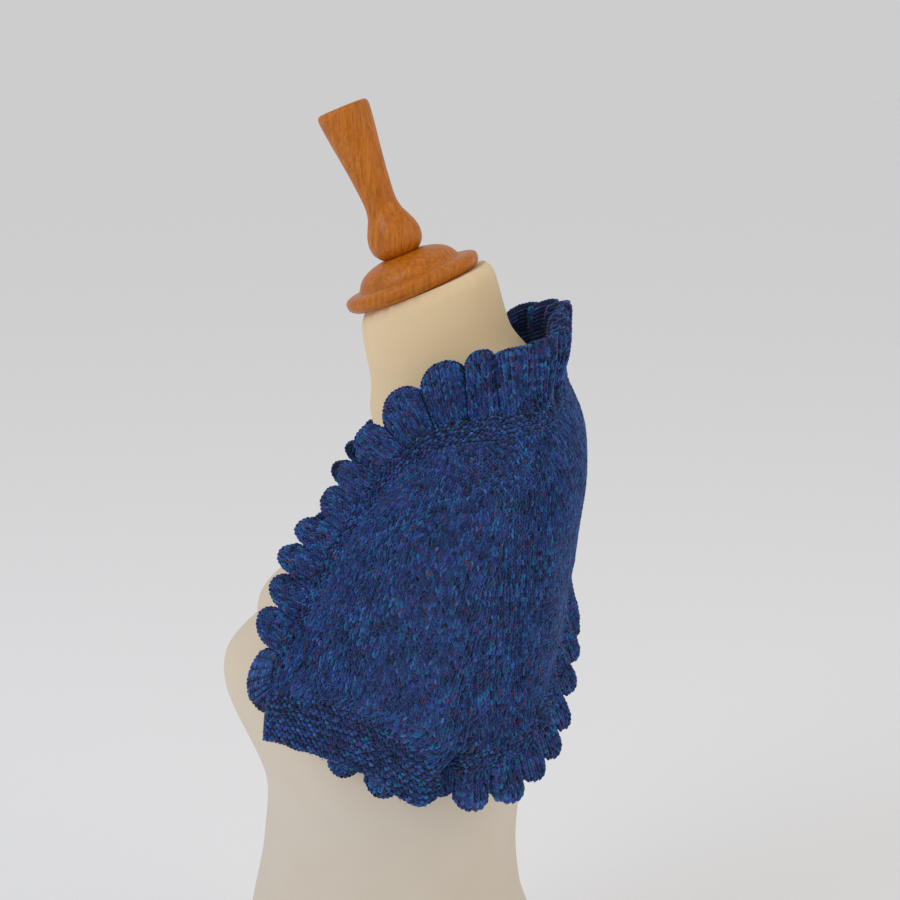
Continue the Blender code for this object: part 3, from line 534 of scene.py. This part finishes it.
def strand_mesh(name, batch, rings=2, arch=0.35):
    """One mesh of plump strands, each a spindle of four sides, arched out in the middle."""
    middle = [(0.0, 1.0, 1.0)] if rings == 1 else [(-0.19, 1.0, 0.6), (0.19, 1.0, 0.6)]
    stations = [(-0.5, 0.0, -1.0)] + middle + [(0.5, 0.0, -1.0)]
    centre, along, out = batch[:, 0:3], batch[:, 3:6], batch[:, 6:9]
    length, width, height = (batch[:, k:k + 1] for k in (9, 10, 11))
    side = np.cross(out, along)
    verts, last = [], len(stations) - 1
    for k, (place, radius, lift) in enumerate(stations):
        spine = centre + along * length * place + out * height * arch * lift
        if k in (0, last):
            verts.append(spine)
            continue
        for c, s in ((1, 0), (0, 1), (-1, 0), (0, -1)):
            verts.append(spine + (side * c * width + out * s * height) * radius / 2)
    per = len(verts)
    verts = np.stack(verts, 1).reshape(-1, 3) * MILLIMETRE
    faces = [(0, 1 + (k + 1) % 4, 1 + k) for k in range(4)]
    for ring in range(len(stations) - 3):
        low, high = 1 + 4 * ring, 5 + 4 * ring
        for k, n in ((0, 1), (1, 2), (2, 3), (3, 0)):
            faces += [(low + k, low + n, high + n), (low + k, high + n, high + k)]
    faces += [(per - 5 + k, per - 5 + (k + 1) % 4, per - 1) for k in range(4)]
    faces = (np.array(faces)[None] + per * np.arange(len(batch))[:, None, None]).reshape(-1, 3)
    mesh = bpy.data.meshes.new(name)
    mesh.from_pydata(verts.tolist(), [], faces.tolist())
    tint = mesh.color_attributes.new("yarn_colour", "FLOAT_COLOR", "POINT")
    colours = np.concatenate([yarn_colours(centre), np.ones((len(batch), 1))], 1)
    tint.data.foreach_set("color", np.repeat(colours, per, axis=0).ravel())
    mesh.shade_smooth()
    mesh.materials.append(wool)
    piece = bpy.data.objects.new(name, mesh)
    scene.collection.objects.link(piece)
    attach(piece, "root")
    return piece


LEG_LEAN, LEG_SWAY, LEG_DIP = 19.0, 7.0, 0.16
LEG_LENGTH, LEG_WIDTH, LEG_HEIGHT, LEG_SIZE = 2.1, 0.46, 1.7, (0.93, 1.09)
STITCH_RISE = (-0.15, 0.2)


def stitch_legs(surface, across, down, width, row, lift, face=1.0):
    """Stocking stitch: two legs to a stitch, leaning apart upwards, at shares across and down a surface."""
    points, by_u, by_v, normal = on_surface(surface, across, down, face)
    up = -unit(by_v)
    side = square_to(up, unit(by_u))
    count = len(points)
    batches = []
    for hand in (-1, 1):
        lean = np.radians(LEG_LEAN + yarn_dice.uniform(-LEG_SWAY, LEG_SWAY, (count, 1)))
        size = yarn_dice.uniform(*LEG_SIZE, count)
        centre = (points + side * hand * (width * 0.25)[:, None]
                  + normal * (lift + yarn_dice.uniform(*STITCH_RISE, (count, 1))))
        way = up * np.cos(lean) + side * hand * np.sin(lean) - normal * LEG_DIP
        batches.append(grains(centre, way, normal, row * LEG_LENGTH * size, width * LEG_WIDTH * size,
                              LEG_HEIGHT * size))
    return np.concatenate(batches)


FIBRE_SWAY, FIBRE_LIFT, FIBRE_LENGTH, FIBRE_THICK = 38, (1.2, 1.9), (4.5, 9.0), (0.35, 0.65)


def fuzz(surface, count):
    """Loose fibres of the yarn, lying on the stitches more or less along the columns."""
    across, down = yarn_dice.uniform(0.01, 0.99, (2, count))
    points, by_u, by_v, normal = on_surface(surface, across, down)
    turn = np.radians(yarn_dice.normal(0, FIBRE_SWAY, (count, 1)))
    way = unit(by_v) * np.cos(turn) + unit(by_u) * np.sin(turn) + normal * yarn_dice.normal(0, 0.10, (count, 1))
    centre = points + normal * yarn_dice.uniform(*FIBRE_LIFT, (count, 1))
    length, thick = yarn_dice.uniform(*FIBRE_LENGTH, count), yarn_dice.uniform(*FIBRE_THICK, count)
    return grains(centre, way, normal, length, thick, thick)


ROW_START, ROW_END, COLUMN_SWAY = 0.45, 0.1, 0.12


def lattice(surface, columns, pitch, spread, edges, from_low=False):
    """Shares across and down of the stitches of a fan, and each stitch's width.

    Columns lie evenly across; spread gives a column's share at a part down, so that outer columns end on the
    sides; edges are the shares of the columns along the sides themselves."""
    fine = np.linspace(0, 1, 60)
    lines = [spread(np.full(60, (k + 0.5) / columns), fine) for k in range(columns)]
    lines += [np.full(60, edge) for edge in edges]
    spots = []
    for number, line in enumerate(lines):
        path = surface(np.clip(line, 0, 1), fine)
        run = run_along(path)
        rows = np.arange(pitch * ROW_START, run[-1] + pitch * ROW_END, pitch)
        rows = run[-1] - rows if from_low else rows
        part = np.clip(np.interp(rows, run, fine), 0.006, 0.994)
        share = np.interp(part, fine, line) + yarn_dice.uniform(-COLUMN_SWAY, COLUMN_SWAY, len(part)) / columns
        if number < columns:
            clear = np.all([np.abs(share - edge) > 0.5 / columns for edge in edges], axis=0)
            inside = clear & (share > 0) & (share < 1)
            share, part = share[inside], part[inside]
        spots.append(np.stack([share, part], 1))
    share, part = np.concatenate(spots).T
    low, high = np.clip(share - 0.5 / columns, 0, 1), np.clip(share + 0.5 / columns, 0, 1)
    width = np.linalg.norm(surface(high, part) - surface(low, part), axis=1) / ((high - low) * columns)
    stretch = spread(np.ones(len(part)), part) - spread(np.zeros(len(part)), part)
    return share, part, width * stretch


# Wool tweed yarn: matt and hairy, each strand flecked every 1.3 mm, with a pale bloom of fibres at grazing angles.
wool, place = new_material("wool_tweed_yarn", Roughness=0.92, Sheen_Weight=0.75, Sheen_Roughness=0.42,
                           Sheen_Tint=linear("#8FA6D8"), Specular_IOR_Level=0.2)
yarn_tint = add_node(wool, "ShaderNodeAttribute", {"attribute_name": "yarn_colour"}).outputs["Color"]
fibres = add_node(wool, "ShaderNodeTexNoise", inputs={
    "Vector": place, "Scale": 750.0, "Detail": 3.0, "Roughness": 0.7})
fibre_shade = add_node(wool, "ShaderNodeValToRGB", inputs={"Fac": fibres.outputs[0]})
set_ramp(fibre_shade, [(0.30, (0.45, 0.45, 0.5, 1)), (0.55, (1, 1, 1, 1)), (0.74, (1.0, 0.95, 1.0, 1))])
add_node(wool, "ShaderNodeMix", MULTIPLY,
         {0: 1.0, 6: yarn_tint, 7: fibre_shade.outputs[0]}, "Base Color")
add_node(wool, "ShaderNodeBump", inputs={"Strength": 0.35, "Distance": 0.0004, "Height": fibres.outputs[0]},
         feeds="Normal")

# Wool ground: the same yarn seen in the hollows between the stitches, darker as painted shade, mottled every 4 mm.
painted_shade_ground, place = new_material("wool_ground_painted_shade", Roughness=0.95, Sheen_Weight=0.2, Sheen_Tint=linear("#8FA6D8"))
specks = add_node(painted_shade_ground, "ShaderNodeTexNoise", inputs={
    "Vector": place, "Scale": 260.0, "Detail": 3.0, "Roughness": 0.65})
painted_shade_tone = add_node(painted_shade_ground, "ShaderNodeValToRGB", inputs={"Fac": specks.outputs[0]},
                       feeds="Base Color")
# These dark navy colours are painted shade: the ground is drawn darker than its own yarn so the gaps look shadowed.
set_ramp(painted_shade_tone, [(0.32, "#0C1326"), (0.48, "#16233F"), (0.58, "#1F2044"), (0.70, "#183A50")])
add_node(painted_shade_ground, "ShaderNodeBump", inputs={"Strength": 0.5, "Distance": 0.0008, "Height": specks.outputs[0]},
         feeds="Normal")


def finish_sheet(piece, node_name):
    """Painted-shade ground material and frame calls of one knitted panel."""
    piece.data.materials.append(painted_shade_ground)
    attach(piece, "root")
    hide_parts(node_name)


neck_places = np.linspace(0, 7, 2000)
SEAM_TOP = neck_places[np.argmin(np.abs(edge_row(neck_places)[:, 0] - BACK_SEAM_TOP_TURN))]
back_neck = edge_row(even_places(0, SEAM_TOP, 61))[:, :2]
back_hem = edge_row(even_places(REAR_FOLD_ROW, LAST_ROW, 61))[::-1, :2]
back_middle = np.linspace(EDGE_ROWS[0, :2], EDGE_ROWS[-1, :2], 61)
back_side = seam_line(61)


def back_surface(across, down):
    """Point of the left half of the back, from its middle to the seam and from the neck to the hem."""
    turn, height = np.moveaxis(fan(back_neck, back_hem, back_middle, back_side, across, down), -1, 0)
    return under_cloth(turn, height)


BACK_COLUMNS, BACK_FAN, BACK_FUZZ = 50, 0.25, 5200
STITCH_ROW, STITCH_LIFT, SIDE_COLUMN = 3.15, 0.7, 0.4
back_panel = thin_shell("back_panel", with_mirror(surface_grid(back_surface, 49, 45)))
across, down, width = lattice(back_surface, BACK_COLUMNS, STITCH_ROW, lambda s, t: s * (1 + BACK_FAN * (1 - t)),
                              [1 - SIDE_COLUMN / BACK_COLUMNS])
back_legs = stitch_legs(back_surface, across, down, width, STITCH_ROW, STITCH_LIFT)
back_fuzz = fuzz(back_surface, BACK_FUZZ)
back_stitches = []
for hand, _, laid in SIDES:
    back_stitches += [strand_mesh("back_stitches_" + hand, laid(back_legs)),
                      strand_mesh("back_fuzz_" + hand, laid(back_fuzz), 1)]
finish_sheet(back_panel, "back")

# The sleeves: stocking stitch too, each in one with its front; the columns fan out from shoulder to cuff.
# A sleeve hangs flat at the side of the form, so it has an outer and an inner layer that meet in two folds.
# The end of the sleeve: turn, top and lower edge of the outer layer, the same of the inner one, and the flare
CUFF_ROWS = np.array([
    (12.5, 372, 351.5, 372, 351.5, 6), (9.5, 380, 346, 371, 346, 5.1), (6, 388.5, 350.5, 370, 348, 4),
    (0.5, 401, 362.5, 374, 355, 2), (-6.5, 410, 372, 380, 362, 0.5), (-15, 413, 377.5, 390, 369, 0),
    (-21, 411, 379, 400, 374, 0), (-24.5, 408, 378, 408, 378, 0)], float)[::-1]
CUFF_FRONT_TURN, CUFF_REAR_TURN = CUFF_ROWS[0, 0], CUFF_ROWS[-1, 0]
FLARE_TOP, FLARE_RISE, FLARE_END, FLARE_RUN = 440, 35, 16.5, 4
SLEEVE_DEPTH, INNER_CLEAR, INNER_FRONT_PART, INNER_REAR_PART = 15.0, 2.2, 0.86, 0.97
NECK_CORNER_STEP, EDGE_STEPS = 5, 14


def cuff_flare(turn, height):
    """How far the sleeve and cuff stand out from the line of the cloth, towards the rear corner of the cuff."""
    flare = in_table(CUFF_ROWS, 5, np.clip(turn, CUFF_FRONT_TURN, CUFF_REAR_TURN))
    return (flare * np.clip((FLARE_TOP - height) / FLARE_RISE, 0, 1)
            * np.clip((FLARE_END - turn) / FLARE_RUN, 0, 1))


def sleeve_point(turn, height, inset=0.0):
    """Point of the sleeve or cuff, or at a depth under it."""
    return under_cloth(turn, height, inset - cuff_flare(turn, height))


sleeve_edge = even_places(SEAM_TOP, FRONT_FOLD_ROW, EDGE_STEPS * 10 + 1)
corner = NECK_CORNER_STEP * 10
sleeve_neck = edge_row(sleeve_edge[:corner + 1])[:, :2]
cuff_line = np.linspace(CUFF_REAR_TURN, CUFF_FRONT_TURN, 61)
cuff_top_line = np.stack([cuff_line, in_table(CUFF_ROWS, 1, cuff_line)], 1)


def even_line(line, count=61):
    """The same line of turn and height with points at even lengths."""
    run = run_along(line * np.array([TURN_LENGTH, 1.0]))
    return np.stack([np.interp(np.linspace(0, run[-1], count), run, line[:, k]) for k in range(2)], 1)


sleeve_front = even_line(np.concatenate([edge_row(sleeve_edge[corner:])[:, :2], cuff_top_line[-1:]]))
sleeve_rear = even_line(np.concatenate([seam_line(61), cuff_top_line[:1]]))


def sleeve_surface(across, down):
    """Point of the sleeve's outer layer, from its rear to its front and from the neck to the cuff."""
    turn, height = np.moveaxis(fan(sleeve_neck, cuff_top_line, sleeve_rear, sleeve_front, across, down), -1, 0)
    return sleeve_point(turn, height)


def cuff_inner_surface(across, down):
    """Point of the cuff's inner layer, from its front fold to its rear fold."""
    spread = 0.5 - 0.5 * np.cos(math.pi * across) * (1 - 0.12 * np.sin(math.pi * across))
    turn = CUFF_FRONT_TURN + (CUFF_REAR_TURN - CUFF_FRONT_TURN) * spread
    depth = SLEEVE_DEPTH * np.sqrt(np.clip(1 - np.abs(2 * spread - 1) ** 3, 0, 1))
    upper, lower = in_table(CUFF_ROWS, 3, turn), in_table(CUFF_ROWS, 4, turn)
    return sleeve_point(turn, upper + (lower - upper) * down, depth)


UNDER_STEPS = 25
under_at = even_places(FRONT_FOLD_ROW, REAR_FOLD_ROW, UNDER_STEPS)
under_edge, under_out = border_frame(under_at)[:2]
inner_top = under_edge + under_out * (SHELL + INNER_CLEAR)
inner_top[0] = sleeve_surface(np.ones(1), np.full(1, INNER_FRONT_PART))[0]
inner_top[-1] = sleeve_surface(np.zeros(1), np.full(1, INNER_REAR_PART))[0]
inner_low = cuff_inner_surface(np.linspace(0, 1, UNDER_STEPS), 0)
part = np.linspace(0, 1, 13)[None, :, None]
inner_points = (1 - part) * inner_top[:, None] + part * inner_low[:, None]
outer_points = surface_grid(sleeve_surface, 41, 49)
SLEEVE_COLUMNS, SLEEVE_FAN, SLEEVE_FUZZ = 36, 0.45, 4200
across, down, width = lattice(sleeve_surface, SLEEVE_COLUMNS, STITCH_ROW,
                              lambda s, t: 0.5 + (s - 0.5) * (1 + SLEEVE_FAN * (1 - t)),
                              [SIDE_COLUMN / SLEEVE_COLUMNS, 1 - SIDE_COLUMN / SLEEVE_COLUMNS], from_low=True)
sleeve_legs = stitch_legs(sleeve_surface, across, down, width, STITCH_ROW, STITCH_LIFT)
sleeve_fuzz = fuzz(sleeve_surface, SLEEVE_FUZZ)

for hand, flip, laid in SIDES:
    outer = thin_shell(f"sleeve_{hand}_panel", outer_points * flip)
    inner = thin_shell(f"sleeve_{hand}_inner_layer", inner_points * flip)
    for layer in (inner, outer):
        layer.select_set(True)
        bpy.context.view_layer.objects.active = layer
    bpy.ops.object.join()
    strands = [strand_mesh(f"sleeve_{hand}_stitches", laid(sleeve_legs)),
               strand_mesh(f"sleeve_{hand}_fuzz", laid(sleeve_fuzz), 1)]
    finish_sheet(outer, "sleeve_" + hand)

# The cuffs: garter stitch, seven ridges deep, knitted on to the ends of the sleeves.
# Each ridge is two rows of purl loops, one arched up and one arched down, with a hollow below it.
CUFF_RIDGES, INNER_RIDGES, RIDGE_PITCH, CHAIN_PITCH = 7, 5, 4.1, 3.4
CUFF_SHELL, CUFF_FUZZ = 1.6, 900
# The two rows of a ridge: part down it and shift along it; and how the loops and the edge chain tilt and differ
LOOP_ROWS = [(0.32, 0.0), (0.66, 0.5)]
LOOP_SWAY, LOOP_TILT, LOOP_TILT_SWAY, LOOP_LENGTH, LOOP_SIZE = 0.2, 15, 24, 1.08, (0.9, 1.12)
CHAIN_TILT, CHAIN_LENGTH, CHAIN_SIZE = (8, 26), 1.5, (0.9, 1.15)


def cuff_outer_surface(across, down):
    """Point of the cuff's outer layer, from its rear fold to its front fold."""
    turn = CUFF_REAR_TURN + (CUFF_FRONT_TURN - CUFF_REAR_TURN) * across
    upper, lower = in_table(CUFF_ROWS, 1, turn), in_table(CUFF_ROWS, 2, turn)
    return sleeve_point(turn, upper + (lower - upper) * down)


def garter(surface, ridges, pitch, face, lift, thick, unsteady):
    """Purl loops of garter stitch in ridges down a surface; pitch is the width of a loop, unsteady from 0 to 1."""
    line = surface(np.linspace(0, 1, 200), np.full(200, 0.5))
    count = int(run_along(line)[-1] / pitch)
    batches = []
    for ridge in range(ridges):
        for row, shift in LOOP_ROWS:
            sway = yarn_dice.uniform(-LOOP_SWAY, LOOP_SWAY, count) * unsteady
            across = (np.arange(count) + 0.25 + shift + sway) / (count + 0.25)
            across = np.clip(across[across < 0.997], 0.003, 0.997)
            sway = yarn_dice.uniform(-LOOP_SWAY, LOOP_SWAY, len(across)) * unsteady
            down = np.clip((ridge + row + sway) / ridges, 0.0, 1.0)
            points, by_u, by_v, normal = on_surface(surface, across, down, face)
            sway = yarn_dice.uniform(-LOOP_TILT_SWAY, LOOP_TILT_SWAY, (len(across), 1)) * unsteady
            tilt = np.radians((1 if shift else -1) * LOOP_TILT + sway)
            way = unit(by_u) * np.cos(tilt) + unit(by_v) * np.sin(tilt)
            size = yarn_dice.uniform(*LOOP_SIZE, len(across))
            centre = points + normal * (lift + yarn_dice.uniform(*STITCH_RISE, (len(across), 1)))
            batches.append(grains(centre, way, normal, pitch * LOOP_LENGTH * size, thick * size, thick * size))
    return np.concatenate(batches)


def edge_chain(surface, down, pitch, face, lift, thick=2.0):
    """Bound-off edge: a chain of strands laid along a line of the surface."""
    line = surface(np.linspace(0, 1, 400), np.full(400, down))
    run = run_along(line)
    across = np.interp(np.arange(pitch / 2, run[-1], pitch), run, np.linspace(0, 1, 400))
    points, by_u, by_v, normal = on_surface(surface, across, np.full(len(across), down), face)
    tilt = np.radians(yarn_dice.uniform(*CHAIN_TILT, (len(across), 1)))
    way = unit(by_u) * np.cos(tilt) + unit(by_v) * np.sin(tilt)
    size = yarn_dice.uniform(*CHAIN_SIZE, len(across))
    return grains(points + normal * lift, way, normal, pitch * CHAIN_LENGTH * size, thick * size, thick * size)


cuff_loops = np.concatenate([
    garter(cuff_outer_surface, CUFF_RIDGES, RIDGE_PITCH, face=1.0, lift=1.1, thick=2.2, unsteady=0.25),
    edge_chain(cuff_outer_surface, 1.0, CHAIN_PITCH, face=1.0, lift=0.2),
    edge_chain(cuff_inner_surface, 1.0, CHAIN_PITCH, face=-1.0, lift=0.2),
    garter(cuff_inner_surface, INNER_RIDGES, RIDGE_PITCH, face=1.0, lift=0.7, thick=1.9, unsteady=0.3)])
cuff_fuzz = fuzz(cuff_outer_surface, CUFF_FUZZ)
cuff_ring = np.concatenate([surface_grid(cuff_outer_surface, 41, 13), surface_grid(cuff_inner_surface, 41, 13)[1:]])
for hand, flip, laid in SIDES:
    cuff = thin_shell(f"cuff_{hand}_band", cuff_ring * flip, CUFF_SHELL)
    strands = [strand_mesh(f"cuff_{hand}_loops", laid(cuff_loops)),
               strand_mesh(f"cuff_{hand}_fuzz", laid(cuff_fuzz), 1)]
    finish_sheet(cuff, "cuff_" + hand)

# The border band: a strip of purl stitches picked up along the neck, the fronts, the underarms and the hem.
# It lies on the line of the cloth's edge and carries the ruffle on its other side.
sleeve_corner = sleeve_edge[corner]
SPANS = {"neck": (0.0, sleeve_corner, 9), "front": (sleeve_corner, FRONT_FOLD_ROW, 6),
         "under": (FRONT_FOLD_ROW, REAR_FOLD_ROW, 5), "hem": (REAR_FOLD_ROW, LAST_ROW, 8)}
BAND_RIDGES, BAND_LOOP = 5, 3.5
LOBE_SWELL = {"neck": 10.5, "front": 8.0, "under": 7.0, "hem": 7.5}
FLUTE_START, WAVE_POWER, WAVE_GAIN, WAVE_DROP = 0.5, 0.7, 1.4, 0.75


def lobe_wave(place, x):
    """How far a lobe stands out at its middle, x = 0, and in at its sides, x = -1 and 1."""
    bulge = np.cos(math.pi * np.clip(x, -1, 1) / 2) ** WAVE_POWER
    return LOBE_SWELL[place] * (bulge * WAVE_GAIN - WAVE_DROP)


def band_surface(place):
    """Strip from the edge of the cloth to the foot of the lobes, where it begins to wave with them."""
    first, last, lobes = SPANS[place]
    at_table, foot_table = even_places(first, last, 240), even_places(first, last, 300, foot=True)

    def surface(across, down):
        shape = np.broadcast(across, down).shape
        at = np.interp(np.broadcast_to(across, shape).ravel(), np.linspace(0, 1, 240), at_table)
        part = np.broadcast_to(down, shape).reshape(-1, 1)
        points, out, fall, foot = border_frame(at)
        lean = np.radians(edge_row(at)[:, 3:4])
        away = np.cos(lean) * out - np.sin(lean) * fall
        turn = np.interp(at, foot_table, np.linspace(0, lobes, 300))[:, None]
        wave = lobe_wave(place, 2 * (turn - np.floor(np.minimum(turn, lobes - 1e-6))) - 1)
        return (points + (foot - points) * part + away * wave * FLUTE_START * part ** 2).reshape(shape + (3,))
    return surface


def sides_of(place, grid, batch):
    """The one middle piece or the two side pieces of a stretch of the border: name, grid and strands."""
    if place in ("neck", "hem"):
        grid = grid if place == "neck" else grid[::-1]
        return [("", with_mirror(grid), np.concatenate([batch, mirrored(batch)]))]
    return [("_" + hand, grid * flip, laid(batch)) for hand, flip, laid in SIDES]


BAND_CUTS = {"neck": (0.47, 0.019, 0.0087), "front": (0.15, 0.018, 0.0025), "under": (0.155, 0.019, 0.0027),
             "hem": (0.46, 0.018, 0.0077)}
for place, cut in BAND_CUTS.items():
    surface = band_surface(place)
    steps = 24 * SPANS[place][2] // 2
    loops = garter(surface, BAND_RIDGES, BAND_LOOP, face=-1.0, lift=0.75, thick=2.1, unsteady=1.0)
    for side, grid, batch in sides_of(place, surface_grid(surface, steps + 1, 7), loops):
        band = thin_shell(f"band_{place}{side}_strip", grid)
        bumps = strand_mesh(f"band_{place}{side}_loops", batch)
        finish_sheet(band, f"band_{place}{side}")

# The ruffle: petals knitted one after another along the band, each rounded, cupped outwards and bound off.
# Their columns of stitches fan from the band to the rim; the purl side shows inside the collar.
LOBE_COLUMNS, LOBE_ROW, LOBE_LIFT = 8, 3.1, 0.65
LOBE_HANG, LOBE_ROUND, NOTCH_MORE, NOTCH_LESS = 0.7, 2.3, 2.0, 0.12
SIZE_SWAY, LEAN_SWAY = 0.07, 6.0
RIM_PITCH, RIM_THICK = 2.7, 2.1
PURL_LIFT, PURL_LENGTH, PURL_WIDTH, PURL_HEIGHT = 0.6, 1.25, 1.6, 1.7


def lobe_sway(number, salt):
    """Small steady difference of one lobe from the next, from -1 to 1."""
    value = math.sin(number * 12.9898 + salt * 78.233) * 43758.5453
    return 2 * (value - math.floor(value)) - 1


def ruffle_surface(place, number):
    """Petals of a stretch, from the band to their rims; number counts the petals before it."""
    first, last, lobes = SPANS[place]
    at_table = even_places(first, last, 300, foot=True)
    sizes = np.array([lobe_sway(number + k, 1) for k in range(lobes)])
    leans = np.array([lobe_sway(number + k, 2) for k in range(lobes)])

    def surface(across, down):
        shape = np.broadcast(across, down).shape
        u, v = np.broadcast_to(across, shape).ravel(), np.broadcast_to(down, shape).reshape(-1, 1)
        at = np.interp(u, np.linspace(0, 1, 300), at_table)
        out, fall, foot = border_frame(at)[1:]
        rows = edge_row(at)
        band_lean = np.radians(rows[:, 3:4])
        onward = np.cos(band_lean) * fall + np.sin(band_lean) * out
        hang = fall + np.clip((-fall[:, 2:3] - 0.6) / 0.3, 0, 1) * LOBE_HANG * np.array([0, 0, -1.0])
        hang = square_to(out, hang)
        lobe = np.clip(np.floor(u * lobes).astype(int), 0, lobes - 1)
        x = (2 * (u * lobes - lobe) - 1)[:, None]
        inside = 1 - np.abs(x) ** 4
        size = 1 + SIZE_SWAY * sizes[lobe][:, None] * inside
        lean = np.radians(rows[:, 4:5] + LEAN_SWAY * leans[lobe][:, None] * inside)
        away, way = np.cos(lean) * out - np.sin(lean) * hang, np.cos(lean) * hang + np.sin(lean) * out
        cut = NOTCH_MORE * rows[:, 7:8] - NOTCH_LESS
        length = rows[:, 6:7] * size * (1 - cut + cut * np.sqrt(np.clip(1 - np.abs(x) ** LOBE_ROUND, 0, 1)))
        swell = size * lobe_wave(place, x)
        rise = smooth_through([0, 0.32, 0.64, 0.86, 1.0], [FLUTE_START, 0.72, 1.0, 1.02, 0.80], v)
        start = foot + onward * 0.4
        return (start + way * v * length + away * rise * swell).reshape(shape + (3,))
    return surface


def lobe_spots(lobes, length):
    """Shares across and down of the stitches of all the lobes of a stretch."""
    rows = np.arange(0.5, round(length / LOBE_ROW)) * LOBE_ROW / length
    x = np.linspace(-0.9, 0.9, LOBE_COLUMNS)
    lobe, column, down = np.meshgrid(np.arange(lobes), x, rows[rows < 0.97], indexing="ij")
    return ((lobe + (column + 1) / 2) / lobes).ravel(), down.ravel()


RUFFLE_CUTS = {"neck": (0.62, 0.042, 0.0243), "front": (0.19, 0.030, 0.0050), "under": (0.18, 0.033, 0.0052),
               "hem": (0.54, 0.026, 0.0119)}
number = 0
for place, cut in RUFFLE_CUTS.items():
    first, last, lobes = SPANS[place]
    surface = ruffle_surface(place, number)
    number += lobes
    length = float(edge_row(np.array([(first + last) / 2]))[0, 6])
    across, down = lobe_spots(lobes, length)
    points, by_u, by_v, normal = on_surface(surface, across, down)
    widths = np.linalg.norm(by_u, axis=1) / (lobes * LOBE_COLUMNS)
    widths = np.clip(widths, 0.75 * np.median(widths), 3.2 * np.median(widths))
    widths *= np.clip(widths / np.median(widths), 1.0, 1.25)
    shorten = np.linalg.norm(by_v, axis=1) / length
    legs = stitch_legs(surface, across, down, widths, LOBE_ROW * np.clip(shorten, 0.55, 1.1), LOBE_LIFT, face=-1.0)
    purls = grains(points + normal * PURL_LIFT, unit(by_u), normal, widths * PURL_LENGTH, PURL_WIDTH, PURL_HEIGHT)
    rim = edge_chain(surface, 1.0, RIM_PITCH, face=-1.0, lift=0.1, thick=RIM_THICK)
    grid = surface_grid(surface, lobes * 14 + 1, 13)
    for side, grid, batch in sides_of(place, grid, np.concatenate([legs, purls, rim])):
        ruffle = thin_shell(f"ruffle_{place}{side}_petals", grid)
        strands = strand_mesh(f"ruffle_{place}{side}_stitches", batch)
        finish_sheet(ruffle, f"ruffle_{place}{side}")
